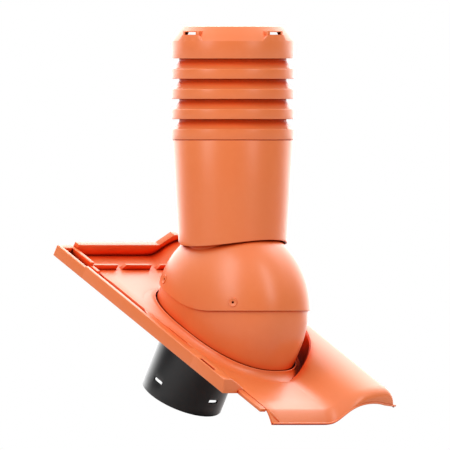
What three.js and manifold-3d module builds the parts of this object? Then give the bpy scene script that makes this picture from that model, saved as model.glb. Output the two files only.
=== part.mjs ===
// Roof ventilation chimney on its own roof tile, for a roof of 30 degrees.
// Millimetres, +Z up. The roof falls towards -Y, and +X runs across it from the
// side lock of the tile to its roll. The origin is the middle of the batten seat
// under the head of the tile. A place on the tile is given as (along, across, up):
// along runs down the slope from the head edge, across runs from the lock edge,
// and up is square to the roof, from the underside of the lock.

import * as THREE from 'three';
import { mergeVertices } from 'three/addons/utils/BufferGeometryUtils.js';
import Module from 'manifold-3d';

// Roof and tile
const ROOF_PITCH = THREE.MathUtils.degToRad(30);
const TILE_LENGTH = 426;
const TILE_WIDTH = 248;
const SHEET = 2.6; // wall of the moulded tile
const PAN_TOP = 5.2;
const PAN_LEFT = 37;
const ROLL_START = 137;
const ROLL_CREST_ACROSS = 227;
const ROLL_CREST_UP = 41.3;
const FLANGE_TOP = 20.8;
const RISE_HANDLES = { foot: 0.38, crest: 0.69 }; // shares of the reach of the rise
const CREST_HANDLE = 17; // how far the crest carries on before it falls
const FLANGE_HANDLE = 238; // where the fall would meet the flange
const NOSE_START = 406; // where the eave edge begins to bend down
const NOSE_STEPS = [[0, 0], [0.2, 0.1], [0.5, 0.4], [1, 1]]; // shares of its run and of its drop
const EAVE = { pan: -5.3, crestAcross: 208, crest: 24.5, flangeAcross: 225, flange: 20.3 };
const ROLL_POINTS = 9; // points on the rising side of the roll
const FALL_POINTS = 6; // points on its falling side

// Head lap of the tile, where the next tile up the roof lies on this one
const HEAD_LAP_END = 60;
const BODY_START = 80;
const HEAD_PAN_TOP = 4.4;
const HEAD_ROLL_START = 163;
const HEAD_CREST_UP = 28.5;
const HEAD_FLANGE_TOP = 13;
const HEAD_WALL = { thick: 8, foot: 11, top: 21.2, hump: 36.4, left: 35 };
const HEAD_HUMP = { rise: 176, level: 196, fall: 206, fallSlope: 0.9, least: 1 };
const WEATHER_BAR = { along: 45, foot: 5, crest: 2.6, rise: 7.2, left: 27 };
const DRAIN_NOTCHES = [[70, 84], [130, 144], [196, 208]];
const ROLL_NOTCH_SILL = 2;

// Side lock
const LOCK = { width: 38, wall: 6.5, headTop: 14.3, top: 17.5, step: 57, end: 358, draft: 7 };
const LOCK_HEAD_RIGHT = 41;
const LOCK_UPRIGHT = { left: 36.5, right: 39.6, top: 4.4 }; // joins the floor of the lock to the pan
const LOCK_RIB = { left: 25.5, right: 29, top: 14.3, tailTop: 11.7, tail: 78 };
const LOCK_BRIDGE = { from: 269, to: 287, right: 16.3 };
const LOCK_BLOCK = { from: 287, flatRight: 15.6, slopeRight: 32.5, slopeTop: 9 };
const LOCK_POCKET = { from: 296, to: 325, left: 2.6, right: 14, floor: 4 };
const LEDGE = { from: 346, left: 27, right: 37.5, top: 4.6 };

// Batten seat and its two hooks, under the head
const SEAT = { along: 32, across: 95, length: 40, width: 100 };
const HOOK = { along: 8, thick: 8, width: 24, depth: 17, spread: 62 };

// Levelling swivel: both shells are turned about an axis across the roof
const PIVOT = { along: 214, across: 122.5, up: 42.4 };
const DOME_RADIUS = 111.6; // square to the swivel axis
const DOME_HALF_WIDTH = 77; // along the swivel axis
const DOME_EXPONENT = 2.4; // 2 is an ellipse, more is fuller at the shoulders
const DOME_WALL = 2.2;
const SLIDE_GAP = 0.7;
const BALL_WALL = 2.4;
const SWIVEL_SEGMENTS = 36;
const PROFILE_STEPS = 12;
const RIM_DROP = 1; // the rim hangs this far below the swivel axis
const RIM_RISE = THREE.MathUtils.degToRad(23.5);
const RIM_CORNER = 1.5;
const RIM_FILLET = 156;
const RIM_STEPS = 6;
const BALL_BACK = Math.cos(THREE.MathUtils.degToRad(12)); // back of the straight part
const BALL_MOUTH = { front: 48, back: 163 }; // degrees round from down the slope

// Collar in the tile round the ball, and the pocket that clears it in the roll
const COLLAR_GAP = 3.2;
const COLLAR_TOP = 14.4;
const COLLAR_LIP = 2;
const COLLAR_FOOT = 17;
const COLLAR_SINK = 0.5; // the flare ends this far inside the pan
const COLLAR_STEPS = 4;
const RING_SEGMENTS = 40;
const RING_EXPONENT = 2.5;
const POCKET = { radius: 119.6, halfWidth: 100, wall: 2.6 };

// Floor of the ball, its flange under the tile, and the duct stub
const FLOOR = { top: -0.4, bottom: -3.2, overlap: 10 };
const STUB_BACK = 26; // the stub stands this far up the slope from the swivel axis
const STUB_RADIUS = 55;
const STUB_WALL = 2.7;
const STUB_CHAMFER = { across: 1, up: 2 };
const STUB_BOTTOM = -101;
const STUB_SLOT = { width: 12, height: 5, above: 22.2 };
const SOCKET = { gap: 0.4, wall: 2.7, bottom: -20 };
const SEAM = 0.3; // between two pieces that rest on each other

// Chimney: heights above the swivel axis
const ROUND_SEGMENTS = 28;
const NECK_RADIUS = 61;
const NECK_WALL = 2.5;
const NECK_FOOT = 30;
const NECK_TOP = 150;
const SLEEVE_TOP = 220.8;
const SLEEVE_TOP_RADIUS = 78.8;
const SLEEVE_BOTTOM = 86.9; // middle of the wave of its lower edge
const SLEEVE_BOTTOM_RADIUS = 70.5;
const SLEEVE_WAVE = 4.1;
const SLEEVE_WALL = 2.5;
const WAVE_CUT = { inner: 64, outer: 99, bottom: 40 };
const SHELF = { thick: 3, skirt: 20, skirtWall: 2 };
const LOUVRE_BASE = 221.9;
const LOUVRE_COUNT = 4;
const LOUVRE_PITCH = 26.2;
const BAND_HEIGHT = 13;
const BAND_RADIUS = 80.6;
const BAND_TAPER = 1.1;
const LOUVRE_WALL = 2.4;
const THROAT_RADIUS = 69.4;
const FLARE = { rise: 11, end: 0.4, middleRise: 4.6, hollow: 1.2 };
const THROAT_RISE = 18;
const UNDERCUT = { band: 2, throat: 1 }; // how far the inside corners lie below the outside ones
const SPIGOT = { radius: 75.4, wall: 2.3, depth: 10, shoulder: 2.2 };
const RIB = { inner: 61.5, outer: 68.3, thick: 3, top: 345, turns: [45, 135, 225, 315] };
const CAP = { bottom: 327, shoulder: 349.7, edge: 368.6, top: 370.2, edgeRadius: 67.4, draft: 1 };
const CAP_INSIDE = { edgeRadius: 65.9, mouthDraft: 0.8, clearOfRibs: 0.2 };
const CAP_SHELF = { inner: 60, thick: 3 };
const BOSS = { top: 357.6, footHalf: 23.8, topHalf: 13.5 };
const HOOD = { radius: 78.8, wall: 2.4, halfWidth: 14.5, side: 1.5, top: 362.5 };
const CAP_SLOT = { halfWidth: 11, bottom: 357.9, top: 361.5 };

// Fits and cuts
const MEET = 1; // walls moulded together run this far into each other
const HAIR = 0.05; // keeps a cut face off the plane of the face beside it
const FAR = 300; // cutting bodies run well past what they cut

const wasm = await Module();
wasm.setup();

// Closed triangle soup to a solid, with its faces turned outwards
function closedSolid(positions, triangles) {
  const kept = [];
  let volume = 0;
  const a = new THREE.Vector3();
  const b = new THREE.Vector3();
  const c = new THREE.Vector3();
  for (let i = 0; i < triangles.length; i += 3) {
    const [p, q, r] = [triangles[i], triangles[i + 1], triangles[i + 2]];
    if (p === q || q === r || r === p) continue;
    a.fromArray(positions, 3 * p);
    b.fromArray(positions, 3 * q);
    c.fromArray(positions, 3 * r);
    volume += a.dot(b.cross(c));
    kept.push(p, q, r);
  }
  if (volume < 0) kept.reverse();
  return new wasm.Manifold(new wasm.Mesh({
    numProp: 3,
    vertProperties: new Float32Array(positions),
    triVerts: new Uint32Array(kept),
  }));
}

function solidOf(geometry) {
  const bare = geometry.clone();
  bare.deleteAttribute('normal');
  bare.deleteAttribute('uv');
  const merged = mergeVertices(bare, 1e-4);
  return closedSolid(Array.from(merged.attributes.position.array), Array.from(merged.index.array));
}

function geometryOf(solid) {
  const mesh = solid.getMesh();
  const geometry = new THREE.BufferGeometry();
  geometry.setAttribute('position', new THREE.BufferAttribute(mesh.vertProperties, 3));
  geometry.setIndex(new THREE.BufferAttribute(mesh.triVerts, 1));
  geometry.computeVertexNormals();
  return geometry;
}

const joined = (solids) => solids.reduce((whole, piece) => whole.add(piece));

// Solid of revolution about Z from a closed or axis-to-axis profile of [radius, height]
function turned(profile, segments = ROUND_SEGMENTS) {
  const points = profile.map(([radius, height]) => new THREE.Vector2(radius, height));
  return solidOf(new THREE.LatheGeometry(points, segments).rotateX(Math.PI / 2));
}

const closedTurned = (profile, segments) => turned([...profile, profile[0]], segments);

const disc = (radius, bottom, top) => turned([[0, bottom], [radius, bottom], [radius, top], [0, top]]);

// Loops of 3-D points joined one to the next, with flat ends cut from the outline
function lofted(loops, outline) {
  const count = outline.length;
  const positions = loops.flat().flatMap((point) => point.toArray());
  const triangles = [];
  for (let k = 0; k + 1 < loops.length; k += 1) {
    for (let i = 0; i < count; i += 1) {
      const [a, b] = [k * count + i, k * count + (i + 1) % count];
      triangles.push(a, b, b + count, a, b + count, a + count);
    }
  }
  const last = (loops.length - 1) * count;
  for (const [p, q, r] of THREE.ShapeUtils.triangulateShape(outline, [])) {
    triangles.push(r, q, p, last + p, last + q, last + r);
  }
  return closedSolid(positions, triangles);
}

// Loops of 3-D points joined one to the next and the last to the first
function ringLofted(loops) {
  const count = loops[0].length;
  const total = loops.length * count;
  const positions = loops.flat().flatMap((point) => point.toArray());
  const triangles = [];
  for (let k = 0; k < loops.length; k += 1) {
    for (let i = 0; i < count; i += 1) {
      const [a, b] = [k * count + i, k * count + (i + 1) % count];
      const [c, d] = [(b + count) % total, (a + count) % total];
      triangles.push(a, b, c, a, c, d);
    }
  }
  return closedSolid(positions, triangles);
}

// Tile frame: X across, Y up the slope, Z square to the roof, from the batten seat
const tilePoint = (along, across, up) => new THREE.Vector3(across - SEAT.across, SEAT.along - along, up);

// Straight bar down the slope with one section of [across, up]
function alongBar(section, from, to) {
  const outline = section.map(([across, up]) => new THREE.Vector2(across, up));
  const loops = [from, to].map((along) => section.map(([across, up]) => tilePoint(along, across, up)));
  return lofted(loops, outline);
}

function block(along, across, up) {
  const section = [[across[0], up[0]], [across[1], up[0]], [across[1], up[1]], [across[0], up[1]]];
  return alongBar(section, along[0], along[1]);
}

// Pan and roll as [across, up] points: level pan, S-shaped rise, crest, steep fall.
function hump([startAcross, pan], [crestAcross, crest], [handleAcross, flange]) {
  const reach = crestAcross - startAcross;
  const point = (across, up) => new THREE.Vector2(across, up);
  const rise = new THREE.CubicBezierCurve(
    point(startAcross, pan),
    point(startAcross + RISE_HANDLES.foot * reach, pan),
    point(crestAcross - RISE_HANDLES.crest * reach, crest),
    point(crestAcross, crest),
  );
  const fall = new THREE.CubicBezierCurve(
    point(crestAcross, crest),
    point(crestAcross + CREST_HANDLE, crest),
    point(handleAcross, flange),
    point(TILE_WIDTH, flange),
  );
  return [point(PAN_LEFT, pan), ...rise.getPoints(ROLL_POINTS), ...fall.getPoints(FALL_POINTS).slice(1)];
}

const headOutline = hump(
  [HEAD_ROLL_START, HEAD_PAN_TOP],
  [ROLL_CREST_ACROSS, HEAD_CREST_UP],
  [FLANGE_HANDLE, HEAD_FLANGE_TOP],
);
const bodyOutline = hump(
  [ROLL_START, PAN_TOP],
  [ROLL_CREST_ACROSS, ROLL_CREST_UP],
  [FLANGE_HANDLE, FLANGE_TOP],
);

// Outer edge of the eave: the same stops across, each at the height of the bent edge
function eaveOutline() {
  const { pan, crestAcross, crest, flangeAcross, flange } = EAVE;
  const edge = hump([ROLL_START, pan], [crestAcross, crest], [flangeAcross, flange]);
  return bodyOutline.map(({ x }) => new THREE.Vector2(x, heightAt(edge, x)));
}

function mixOutlines(from, to, share) {
  return from.map((point, i) => point.clone().lerp(to[i], share));
}

// Outer surface height of an outline at one place across
function heightAt(outline, across) {
  const right = Math.max(1, outline.findIndex((point) => point.x >= across));
  const [a, b] = [outline[right - 1], outline[right]];
  return THREE.MathUtils.mapLinear(across, a.x, b.x, a.y, b.y);
}

// The sheet is its upper outline and the same one SHEET below, measured square to it
function sheetLoop(outline, along, thickness = SHEET) {
  const lower = outline.map((point, i) => {
    const before = outline[Math.max(i - 1, 0)];
    const after = outline[Math.min(i + 1, outline.length - 1)];
    const normal = new THREE.Vector2(before.y - after.y, after.x - before.x).normalize();
    if (i === 0 || i === outline.length - 1) normal.set(0, 1);
    return point.clone().addScaledVector(normal, -thickness);
  });
  const loop = [...lower, ...outline.toReversed()];
  return { outline: loop, points: loop.map(({ x, y }) => tilePoint(along, x, y)) };
}

function tileSheet() {
  const eave = eaveOutline();
  const stations = [
    sheetLoop(headOutline, 0),
    sheetLoop(headOutline, HEAD_LAP_END),
    sheetLoop(bodyOutline, BODY_START),
    ...NOSE_STEPS.map(([run, drop]) => sheetLoop(
      mixOutlines(bodyOutline, eave, drop),
      THREE.MathUtils.lerp(NOSE_START, TILE_LENGTH, run),
    )),
  ];
  return lofted(stations.map(({ points }) => points), stations[0].outline);
}

// Wall that stands across the tile on the head lap, with a drafted lower face
function crossWall(along, foot, crest, left, topAt) {
  const acrosses = headOutline.map(({ x }) => x).filter((x) => x > left);
  const stops = [left, ...acrosses];
  const loops = stops.map((across) => {
    const bottom = heightAt(headOutline, Math.max(across, PAN_LEFT)) - SHEET / 2;
    const top = topAt(across);
    return [
      tilePoint(along, across, bottom),
      tilePoint(along + foot, across, bottom),
      tilePoint(along + crest, across, top),
      tilePoint(along, across, top),
    ];
  });
  const outline = loops[0].map(({ y, z }) => new THREE.Vector2(-y, z));
  return lofted(loops, outline);
}

// Top of the wall at the head: level over the pan, then a hump on the roll
function headWallTop(across) {
  const lap = heightAt(headOutline, Math.max(across, PAN_LEFT));
  const { rise, level, fall, fallSlope, least } = HEAD_HUMP;
  const { top, hump: crest } = HEAD_WALL;
  if (across < rise) return top;
  if (across < level) return THREE.MathUtils.mapLinear(across, rise, level, top, crest);
  if (across < fall) return crest;
  return Math.max(lap + least, crest - (across - fall) * fallSlope);
}

function weatherBar() {
  const { along, foot, crest, rise, left } = WEATHER_BAR;
  const top = (across) => heightAt(headOutline, Math.max(across, PAN_LEFT)) + rise;
  const bar = crossWall(along, foot, crest, left, top);
  const notches = DRAIN_NOTCHES.map(([from, to]) => {
    const sill = from > HEAD_ROLL_START ? ROLL_NOTCH_SILL : 0;
    const floor = heightAt(headOutline, (from + to) / 2) + sill;
    return block([along - MEET, along + foot + MEET], [from, to], [floor, FAR]);
  });
  return bar.subtract(joined(notches));
}

function sideLock() {
  const { width, wall, headTop, top, step, end, draft } = LOCK;
  const flat = [[0, top], [LOCK_BLOCK.flatRight, top], [LOCK_BLOCK.slopeRight, LOCK_BLOCK.slopeTop]];
  const blockSection = [[0, 0], [width, 0], [width, PAN_TOP], ...flat.toReversed()];
  const blockOutline = blockSection.map(([across, up]) => new THREE.Vector2(across, up));
  const endBlock = lofted([
    blockSection.map(([across, up]) => tilePoint(LOCK_BLOCK.from, across, up)),
    blockSection.map(([across, up]) => tilePoint(end - draft * up / top, across, up)),
  ], blockOutline);
  const pocket = block(
    [LOCK_POCKET.from, LOCK_POCKET.to],
    [LOCK_POCKET.left, LOCK_POCKET.right],
    [LOCK_POCKET.floor, FAR],
  );
  return joined([
    block([0, LOCK_BLOCK.from + MEET], [0, width], [0, SHEET]),
    block([0, LOCK_BLOCK.from + MEET], [LOCK_UPRIGHT.left, LOCK_UPRIGHT.right], [0, LOCK_UPRIGHT.top]),
    block([0, step], [0, wall], [0, headTop]),
    block([step - MEET, LOCK_BLOCK.from + MEET], [0, wall], [0, top]),
    block([0, HEAD_WALL.thick], [0, LOCK_HEAD_RIGHT], [0, headTop]),
    block([0, step], [LOCK_RIB.left, LOCK_RIB.right], [0, LOCK_RIB.top]),
    block([step - MEET, LOCK_RIB.tail], [LOCK_RIB.left, LOCK_RIB.right], [0, LOCK_RIB.tailTop]),
    block([LOCK_BRIDGE.from, LOCK_BRIDGE.to + MEET], [0, LOCK_BRIDGE.right], [0, top]),
    endBlock.subtract(pocket),
    block([LEDGE.from, NOSE_START], [LEDGE.left, LEDGE.right], [0, LEDGE.top]),
  ]);
}

function battenSeat() {
  const { along, across, length, width } = SEAT;
  const seat = block(
    [along - length / 2, along + length / 2],
    [across - width / 2, across + width / 2],
    [0, HEAD_PAN_TOP - MEET],
  );
  const hooks = [-1, 1].map((side) => {
    const middle = across + side * HOOK.spread / 2;
    return block(
      [HOOK.along - HOOK.thick / 2, HOOK.along + HOOK.thick / 2],
      [middle - HOOK.width / 2, middle + HOOK.width / 2],
      [-HOOK.depth, HEAD_PAN_TOP - MEET],
    );
  });
  return joined([seat, ...hooks]);
}

// Outline of the ball's straight part, grown by an offset, round the swivel axis.
// front and side are half sizes down the slope and across; back scales the rear half.
function ringPoint(angle, front, side, exponent, back = 1) {
  const [c, s] = [Math.cos(angle), Math.sin(angle)];
  const reach = Math.sign(c) * front * Math.abs(c) ** (2 / exponent);
  return {
    along: PIVOT.along + reach * (reach < 0 ? back : 1),
    across: PIVOT.across + Math.sign(s) * side * Math.abs(s) ** (2 / exponent),
  };
}

function ringPoints(offset, segments = RING_SEGMENTS) {
  const front = DOME_RADIUS - DOME_WALL - SLIDE_GAP + offset;
  const side = DOME_HALF_WIDTH - DOME_WALL - SLIDE_GAP + offset;
  const angles = Array.from({ length: segments }, (_, i) => (2 * Math.PI * i) / segments);
  return angles.map((angle) => ringPoint(angle, front, side, RING_EXPONENT, BALL_BACK));
}

function straightPrism(points, bottom, top) {
  const outline = points.map(({ along, across }) => new THREE.Vector2(across, -along));
  const loops = [bottom, top].map((up) => points.map(({ along, across }) => tilePoint(along, across, up)));
  return lofted(loops, outline);
}

// Lip round the ball that flares down into the pan in a hollow curve, and the thick
// ring below it that the flange of the ball is fixed to
function collarRing() {
  const inner = ringPoints(COLLAR_GAP);
  const flare = Array.from({ length: COLLAR_STEPS + 1 }, (_, i) => {
    const turn = (i / COLLAR_STEPS) * (Math.PI / 2);
    return {
      offset: COLLAR_GAP + COLLAR_LIP + (COLLAR_FOOT - COLLAR_LIP) * (1 - Math.cos(turn)),
      up: COLLAR_TOP - (COLLAR_TOP - PAN_TOP + COLLAR_SINK) * Math.sin(turn),
    };
  });
  const rows = flare.map(({ offset, up }) => ringPoints(offset).map((point) => ({ ...point, up })));
  const foot = rows[rows.length - 1];
  const loops = inner.map((point, i) => [
    tilePoint(point.along, point.across, 0),
    tilePoint(point.along, point.across, COLLAR_TOP),
    ...rows.map((row) => tilePoint(row[i].along, Math.max(row[i].across, PAN_LEFT + MEET), row[i].up)),
    tilePoint(foot[i].along, Math.max(foot[i].across, PAN_LEFT + MEET), 0),
  ]);
  return ringLofted(loops);
}

// Outline of the pocket that clears the ball in the roll
function pocketPoints(offset) {
  const angles = Array.from({ length: RING_SEGMENTS }, (_, i) => (2 * Math.PI * i) / RING_SEGMENTS);
  return angles.map((angle) => ringPoint(
    angle,
    POCKET.radius + offset,
    POCKET.halfWidth + offset,
    2,
  ));
}

// Everything under the roll, as one solid, for trimming the pocket's wall
function underRoll() {
  const loops = [BODY_START, NOSE_START].map((along) => {
    const lower = bodyOutline.map(({ x }) => tilePoint(along, x, PAN_TOP - SHEET));
    return [...lower, ...bodyOutline.toReversed().map(({ x, y }) => tilePoint(along, x, y - HAIR))];
  });
  return lofted(loops, loops[0].map(({ x, z }) => new THREE.Vector2(x, z)));
}

function roofTile() {
  const clear = straightPrism(pocketPoints(0), PAN_TOP + HAIR, FAR);
  const lining = straightPrism(pocketPoints(POCKET.wall), PAN_TOP - SHEET, FAR)
    .subtract(straightPrism(pocketPoints(0), PAN_TOP, FAR + MEET))
    .intersect(underRoll());
  const sheet = tileSheet().subtract(clear).add(lining);
  const collar = collarRing();
  const opening = straightPrism(ringPoints(COLLAR_GAP), -FAR, FAR);
  const head = crossWall(0, HEAD_WALL.foot, HEAD_WALL.thick, HEAD_WALL.left, headWallTop);
  return joined([sheet, collar, head, weatherBar(), sideLock(), battenSeat()]).subtract(opening);
}

// Half outline of a swivel shell, pole to pole: distance from the swivel axis, place along it
function swivelProfile(radius, halfWidth) {
  return Array.from({ length: PROFILE_STEPS + 1 }, (_, i) => {
    const turn = Math.PI * (i / PROFILE_STEPS - 0.5);
    const atPole = i === 0 || i === PROFILE_STEPS;
    const away = atPole ? 0 : radius * Math.cos(turn) ** (2 / DOME_EXPONENT);
    return [away, Math.sign(turn) * halfWidth * Math.abs(Math.sin(turn)) ** (2 / DOME_EXPONENT)];
  });
}

function swivelBody(radius, halfWidth) {
  const points = swivelProfile(radius, halfWidth).map(([away, side]) => new THREE.Vector2(away, side));
  return solidOf(new THREE.LatheGeometry(points, SWIVEL_SEGMENTS).rotateZ(-Math.PI / 2));
}

// Plan of the straight part below a swivel shell: its outline in front, drawn in behind
function straightPlan(radius, halfWidth) {
  const profile = swivelProfile(radius, halfWidth);
  const front = profile.map(([away, side]) => ({ along: PIVOT.along + away, across: PIVOT.across + side }));
  const back = profile.slice(1, -1).toReversed()
    .map(([away, side]) => ({ along: PIVOT.along - BALL_BACK * away, across: PIVOT.across + side }));
  return [...front, ...back];
}

// Long prism along X from an outline of [y, z]
function acrossPrism(outline, halfWidth = FAR) {
  const loops = [-halfWidth, halfWidth].map((x) => outline.map(([y, z]) => new THREE.Vector3(x, y, z)));
  return lofted(loops, outline.map(([y, z]) => new THREE.Vector2(y, z)));
}

// Everything under the rim of the dome: level down the slope, rising up the slope
function underRim() {
  const tangent = RIM_FILLET * Math.tan(RIM_RISE / 2);
  const start = -RIM_CORNER - tangent;
  const bend = Array.from({ length: RIM_STEPS + 1 }, (_, i) => {
    const turn = (RIM_RISE * i) / RIM_STEPS;
    return [start + RIM_FILLET * Math.sin(turn), -RIM_DROP + RIM_FILLET * (1 - Math.cos(turn))];
  });
  const [y, z] = bend[RIM_STEPS];
  const end = [y + FAR, z + FAR * Math.tan(RIM_RISE)];
  return acrossPrism([[-FAR, -FAR], [y + FAR, -FAR], end, ...bend.toReversed(), [-FAR, -RIM_DROP]]);
}

function upperDome() {
  const outer = swivelBody(DOME_RADIUS, DOME_HALF_WIDTH);
  const inner = swivelBody(DOME_RADIUS - DOME_WALL, DOME_HALF_WIDTH - DOME_WALL);
  const neck = disc(NECK_RADIUS, NECK_FOOT, NECK_TOP);
  const bore = disc(NECK_RADIUS - NECK_WALL, 0, FAR);
  return outer.add(neck).subtract(inner).subtract(bore).subtract(underRim());
}

// In the tile frame, about the swivel axis: shell above, straight walls below
function lowerBall() {
  const pivotPlace = tilePoint(PIVOT.along, PIVOT.across, PIVOT.up).toArray();
  const grown = (offset) => {
    const radius = DOME_RADIUS - DOME_WALL - SLIDE_GAP + offset;
    const halfWidth = DOME_HALF_WIDTH - DOME_WALL - SLIDE_GAP + offset;
    const round = swivelBody(radius, halfWidth).translate(pivotPlace);
    const bottom = offset < 0 ? FLOOR.top : FLOOR.bottom;
    const below = straightPrism(straightPlan(radius, halfWidth), bottom, PIVOT.up);
    const under = block([-FAR, 2 * FAR], [-FAR, 2 * FAR], [-FAR, bottom]);
    return round.add(below).subtract(under);
  };
  const [front, back] = [BALL_MOUTH.front, BALL_MOUTH.back].map((degrees) => {
    const turn = THREE.MathUtils.degToRad(degrees);
    return [-DOME_RADIUS * Math.cos(turn), DOME_RADIUS * Math.sin(turn)];
  });
  const slope = (back[1] - front[1]) / (back[0] - front[0]);
  const mouth = acrossPrism([
    [-FAR, front[1] - slope * (front[0] + FAR)],
    [FAR, back[1] + slope * (FAR - back[0])],
    [FAR, FAR],
    [-FAR, FAR],
  ]).translate(pivotPlace);
  const flange = straightPrism(ringPoints(COLLAR_GAP + FLOOR.overlap), FLOOR.bottom, FLOOR.top);
  const stubPlace = tilePoint(PIVOT.along - STUB_BACK, PIVOT.across, 0).toArray();
  const socketInner = STUB_RADIUS + SOCKET.gap;
  const socket = closedTurned([
    [socketInner, SOCKET.bottom],
    [socketInner + SOCKET.wall, SOCKET.bottom],
    [socketInner + SOCKET.wall, FLOOR.bottom + MEET],
    [socketInner, FLOOR.bottom + MEET],
  ]).translate(stubPlace);
  const hole = disc(STUB_RADIUS - STUB_WALL, SOCKET.bottom, PIVOT.up).translate(stubPlace);
  const shell = grown(0).subtract(grown(-BALL_WALL)).subtract(mouth);
  return joined([shell, flange, socket]).subtract(hole);
}

function ductStub() {
  const inner = STUB_RADIUS - STUB_WALL;
  const pipe = closedTurned([
    [inner + STUB_CHAMFER.across, STUB_BOTTOM],
    [STUB_RADIUS, STUB_BOTTOM],
    [STUB_RADIUS, FLOOR.bottom - SEAM],
    [inner, FLOOR.bottom - SEAM],
    [inner, STUB_BOTTOM + STUB_CHAMFER.up],
  ]);
  const { width, height, above } = STUB_SLOT;
  const slots = [0, 1].map((quarter) => {
    const through = new THREE.BoxGeometry(3 * STUB_RADIUS, width, height);
    through.rotateZ(quarter * Math.PI / 2).translate(0, 0, STUB_BOTTOM + above);
    return solidOf(through);
  });
  return pipe.subtract(joined(slots));
}

// Solid ring whose upper face follows the wave of the sleeve's lower edge
function sleeveWave() {
  const angles = Array.from({ length: ROUND_SEGMENTS }, (_, i) => (2 * Math.PI * i) / ROUND_SEGMENTS);
  return ringLofted(angles.map((angle) => {
    const top = SLEEVE_BOTTOM - SLEEVE_WAVE * Math.cos(2 * angle);
    const { inner, outer, bottom } = WAVE_CUT;
    const corners = [[inner, bottom], [outer, bottom], [outer, top], [inner, top]];
    const [c, s] = [Math.cos(angle), Math.sin(angle)];
    return corners.map(([radius, up]) => new THREE.Vector3(radius * c, radius * s, up));
  }));
}

function tubeSleeve() {
  const taper = (SLEEVE_TOP_RADIUS - SLEEVE_BOTTOM_RADIUS) / (SLEEVE_TOP - SLEEVE_BOTTOM);
  const wallAt = (up) => SLEEVE_BOTTOM_RADIUS + taper * (up - SLEEVE_BOTTOM);
  const bottom = SLEEVE_BOTTOM - 2 * SLEEVE_WAVE;
  const shelfBottom = NECK_TOP + SEAM;
  const shelfTop = shelfBottom + SHELF.thick;
  const bore = NECK_RADIUS - NECK_WALL;
  const skirt = NECK_RADIUS + SEAM;
  const profile = [
    [wallAt(bottom), bottom],
    [SLEEVE_TOP_RADIUS, SLEEVE_TOP],
    [SLEEVE_TOP_RADIUS - SLEEVE_WALL, SLEEVE_TOP],
    [wallAt(shelfTop) - SLEEVE_WALL, shelfTop],
    [bore, shelfTop],
    [bore, shelfBottom],
    [skirt, shelfBottom],
    [skirt, shelfBottom - SHELF.skirt],
    [skirt + SHELF.skirtWall, shelfBottom - SHELF.skirt],
    [skirt + SHELF.skirtWall, shelfBottom],
    [wallAt(shelfBottom) - SLEEVE_WALL, shelfBottom],
    [wallAt(bottom) - SLEEVE_WALL, bottom],
  ];
  return closedTurned(profile).subtract(sleeveWave());
}

// One louvre: an outer band, a hollow flare above it and the throat it runs up to.
// The lowest one rests on the sleeve and has a spigot inside it.
function louvreRing(bottom, lowest) {
  const bandTop = bottom + BAND_HEIGHT;
  const throatTop = bandTop + THROAT_RISE;
  const flareTop = bandTop + FLARE.rise;
  const flareMiddle = (BAND_RADIUS + THROAT_RADIUS) / 2 - FLARE.hollow;
  const { radius, wall, depth, shoulder } = SPIGOT;
  const inner = lowest ? radius - wall : BAND_RADIUS - LOUVRE_WALL;
  const seat = SLEEVE_TOP + SEAM;
  const foot = lowest
    ? [[inner, bottom - depth], [radius, bottom - depth], [radius, seat], [radius + shoulder, seat],
      [radius + shoulder, bottom]]
    : [[inner - BAND_TAPER, bottom]];
  return closedTurned([
    [BAND_RADIUS - BAND_TAPER, bottom],
    [BAND_RADIUS, bandTop],
    [flareMiddle, bandTop + FLARE.middleRise],
    [THROAT_RADIUS + FLARE.end, flareTop],
    [THROAT_RADIUS, throatTop],
    [THROAT_RADIUS - LOUVRE_WALL, throatTop],
    [THROAT_RADIUS - LOUVRE_WALL, flareTop - UNDERCUT.throat],
    [inner, bandTop - UNDERCUT.band],
    ...foot,
  ]);
}

function louvreHead() {
  const bases = Array.from({ length: LOUVRE_COUNT }, (_, i) => LOUVRE_BASE + i * LOUVRE_PITCH);
  const rings = bases.map((base, i) => louvreRing(base, i === 0));
  const ribs = RIB.turns.map((degrees) => {
    const height = RIB.top - LOUVRE_BASE - BAND_HEIGHT;
    const rib = new THREE.BoxGeometry(RIB.outer - RIB.inner, RIB.thick, height);
    rib.translate((RIB.outer + RIB.inner) / 2, 0, RIB.top - height / 2);
    return solidOf(rib.rotateZ(THREE.MathUtils.degToRad(degrees)));
  });
  return joined([...rings, ...ribs]);
}

function centredBar(halfLength, halfWidth, bottom, top) {
  const bar = new THREE.BoxGeometry(2 * halfLength, 2 * halfWidth, top - bottom);
  return solidOf(bar.translate(0, 0, (top + bottom) / 2));
}

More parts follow.
